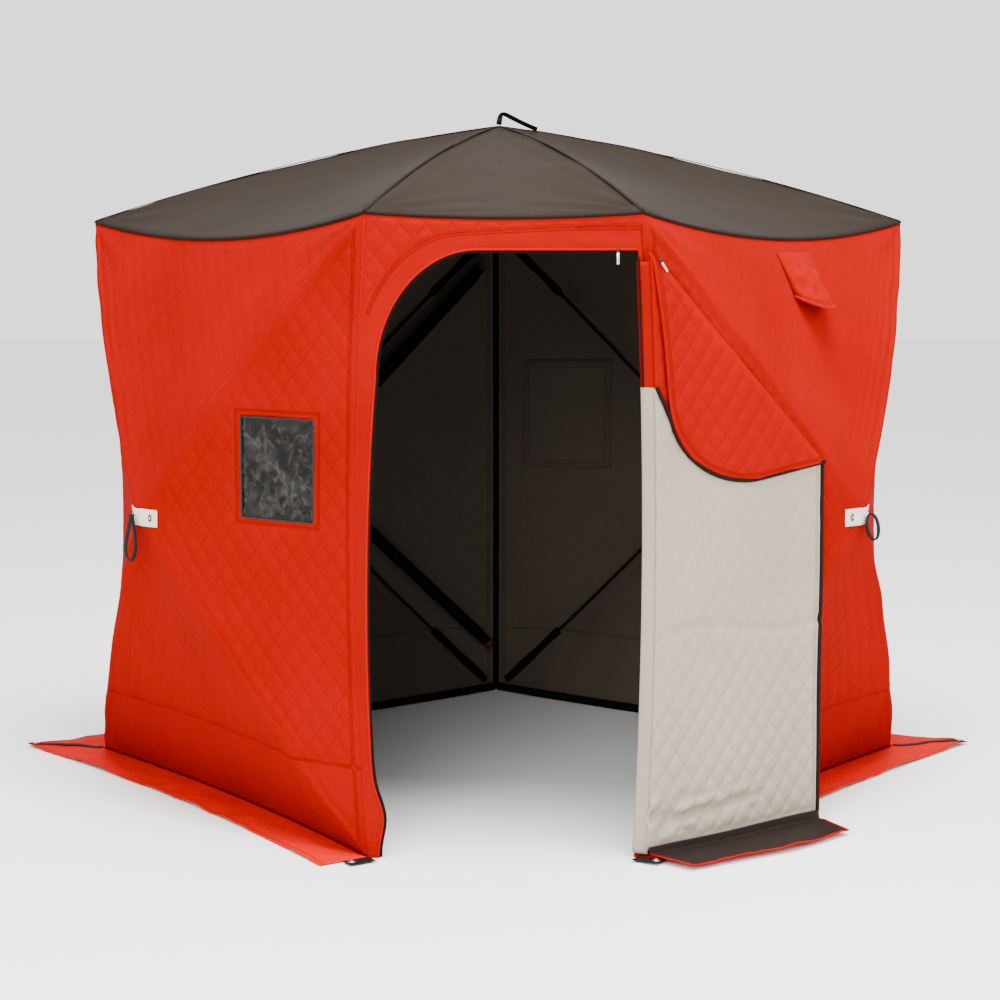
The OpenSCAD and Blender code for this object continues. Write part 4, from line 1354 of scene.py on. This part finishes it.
def zip_pull(name, body, place, stands_for):
    tab, slider = bmesh.new(), bmesh.new()
    hang = place @ Matrix.Translation((0, -0.0012, -0.016))
    seat = place @ Matrix.Translation((0, 0.0012, 0.004))
    rounded_box(tab, (0.007, 0.0022, 0.030), hang, 0.0009)
    rounded_box(slider, (0.009, 0.0040, 0.014), seat, 0.0012)
    finish_solid(name + "_tab", tab, nickel, body)
    finish_solid(name + "_slider", slider, hub_nylon, body, stands_for)


at = Vector((0.300, FRONT_Y - 0.003, 1.624))
zip_pull("doorway_zip", "shell", Matrix.Translation(at), ["header_zip_pull"])
turn = Matrix.Rotation(OPEN, 4, "Z") @ Matrix.Rotation(-math.radians(40), 4, "Y")
at = on_door(0.040, DOOR_TOP - 0.026, FACE + 0.0125)
zip_pull("door_zip", "door", Matrix.Translation(at) @ turn, ["door_zip_sliders"])

# %% [markdown]
# The studio is a wide pale floor under soft light: one bright even sky, a large panel high
# on the left in front, a weaker one on the right and a strong one overhead. The overhead
# panel makes the cloth above each hub lighter than the cloth beside it.

# %% Studio
floor = bmesh.new()
bmesh.ops.create_grid(floor, x_segments=1, y_segments=1, size=40)
mesh = bpy.data.meshes.new("studio_floor")
bmesh.ops.translate(floor, vec=(0, 0, -0.001), verts=floor.verts[:])
floor.to_mesh(mesh)
floor.free()
stage = bpy.data.objects.new("studio_floor", mesh)
scene.collection.objects.link(stage)
mesh.materials.append(start_finish("pale_studio_floor", "#f4f4f4", 0.9)[0])

world = bpy.data.worlds.new("studio_sky")
world.use_nodes = True
world.node_tree.nodes["Background"].inputs["Color"].default_value = linear("#ffffff")
world.node_tree.nodes["Background"].inputs["Strength"].default_value = 1.85
scene.world = world


def soft_panel(name, place, aim, size, power):
    light = bpy.data.objects.new(name, bpy.data.lights.new(name, "AREA"))
    light.data.shape = "DISK"
    light.data.size = size
    light.data.energy = power
    light.location = place
    light.rotation_euler = (Vector(aim) - Vector(place)).to_track_quat("-Z", "Y").to_euler()
    scene.collection.objects.link(light)


soft_panel("key_panel", (-1.6, -6.8, 3.6), (0, 0, 0.8), 4.0, 420)
soft_panel("fill_panel", (4.5, -4.0, 4.0), (0, 0, 0.8), 4.0, 220)
soft_panel("top_panel", (0.4, -2.2, 7.0), (0, 0, 0.8), 4.0, 1100)
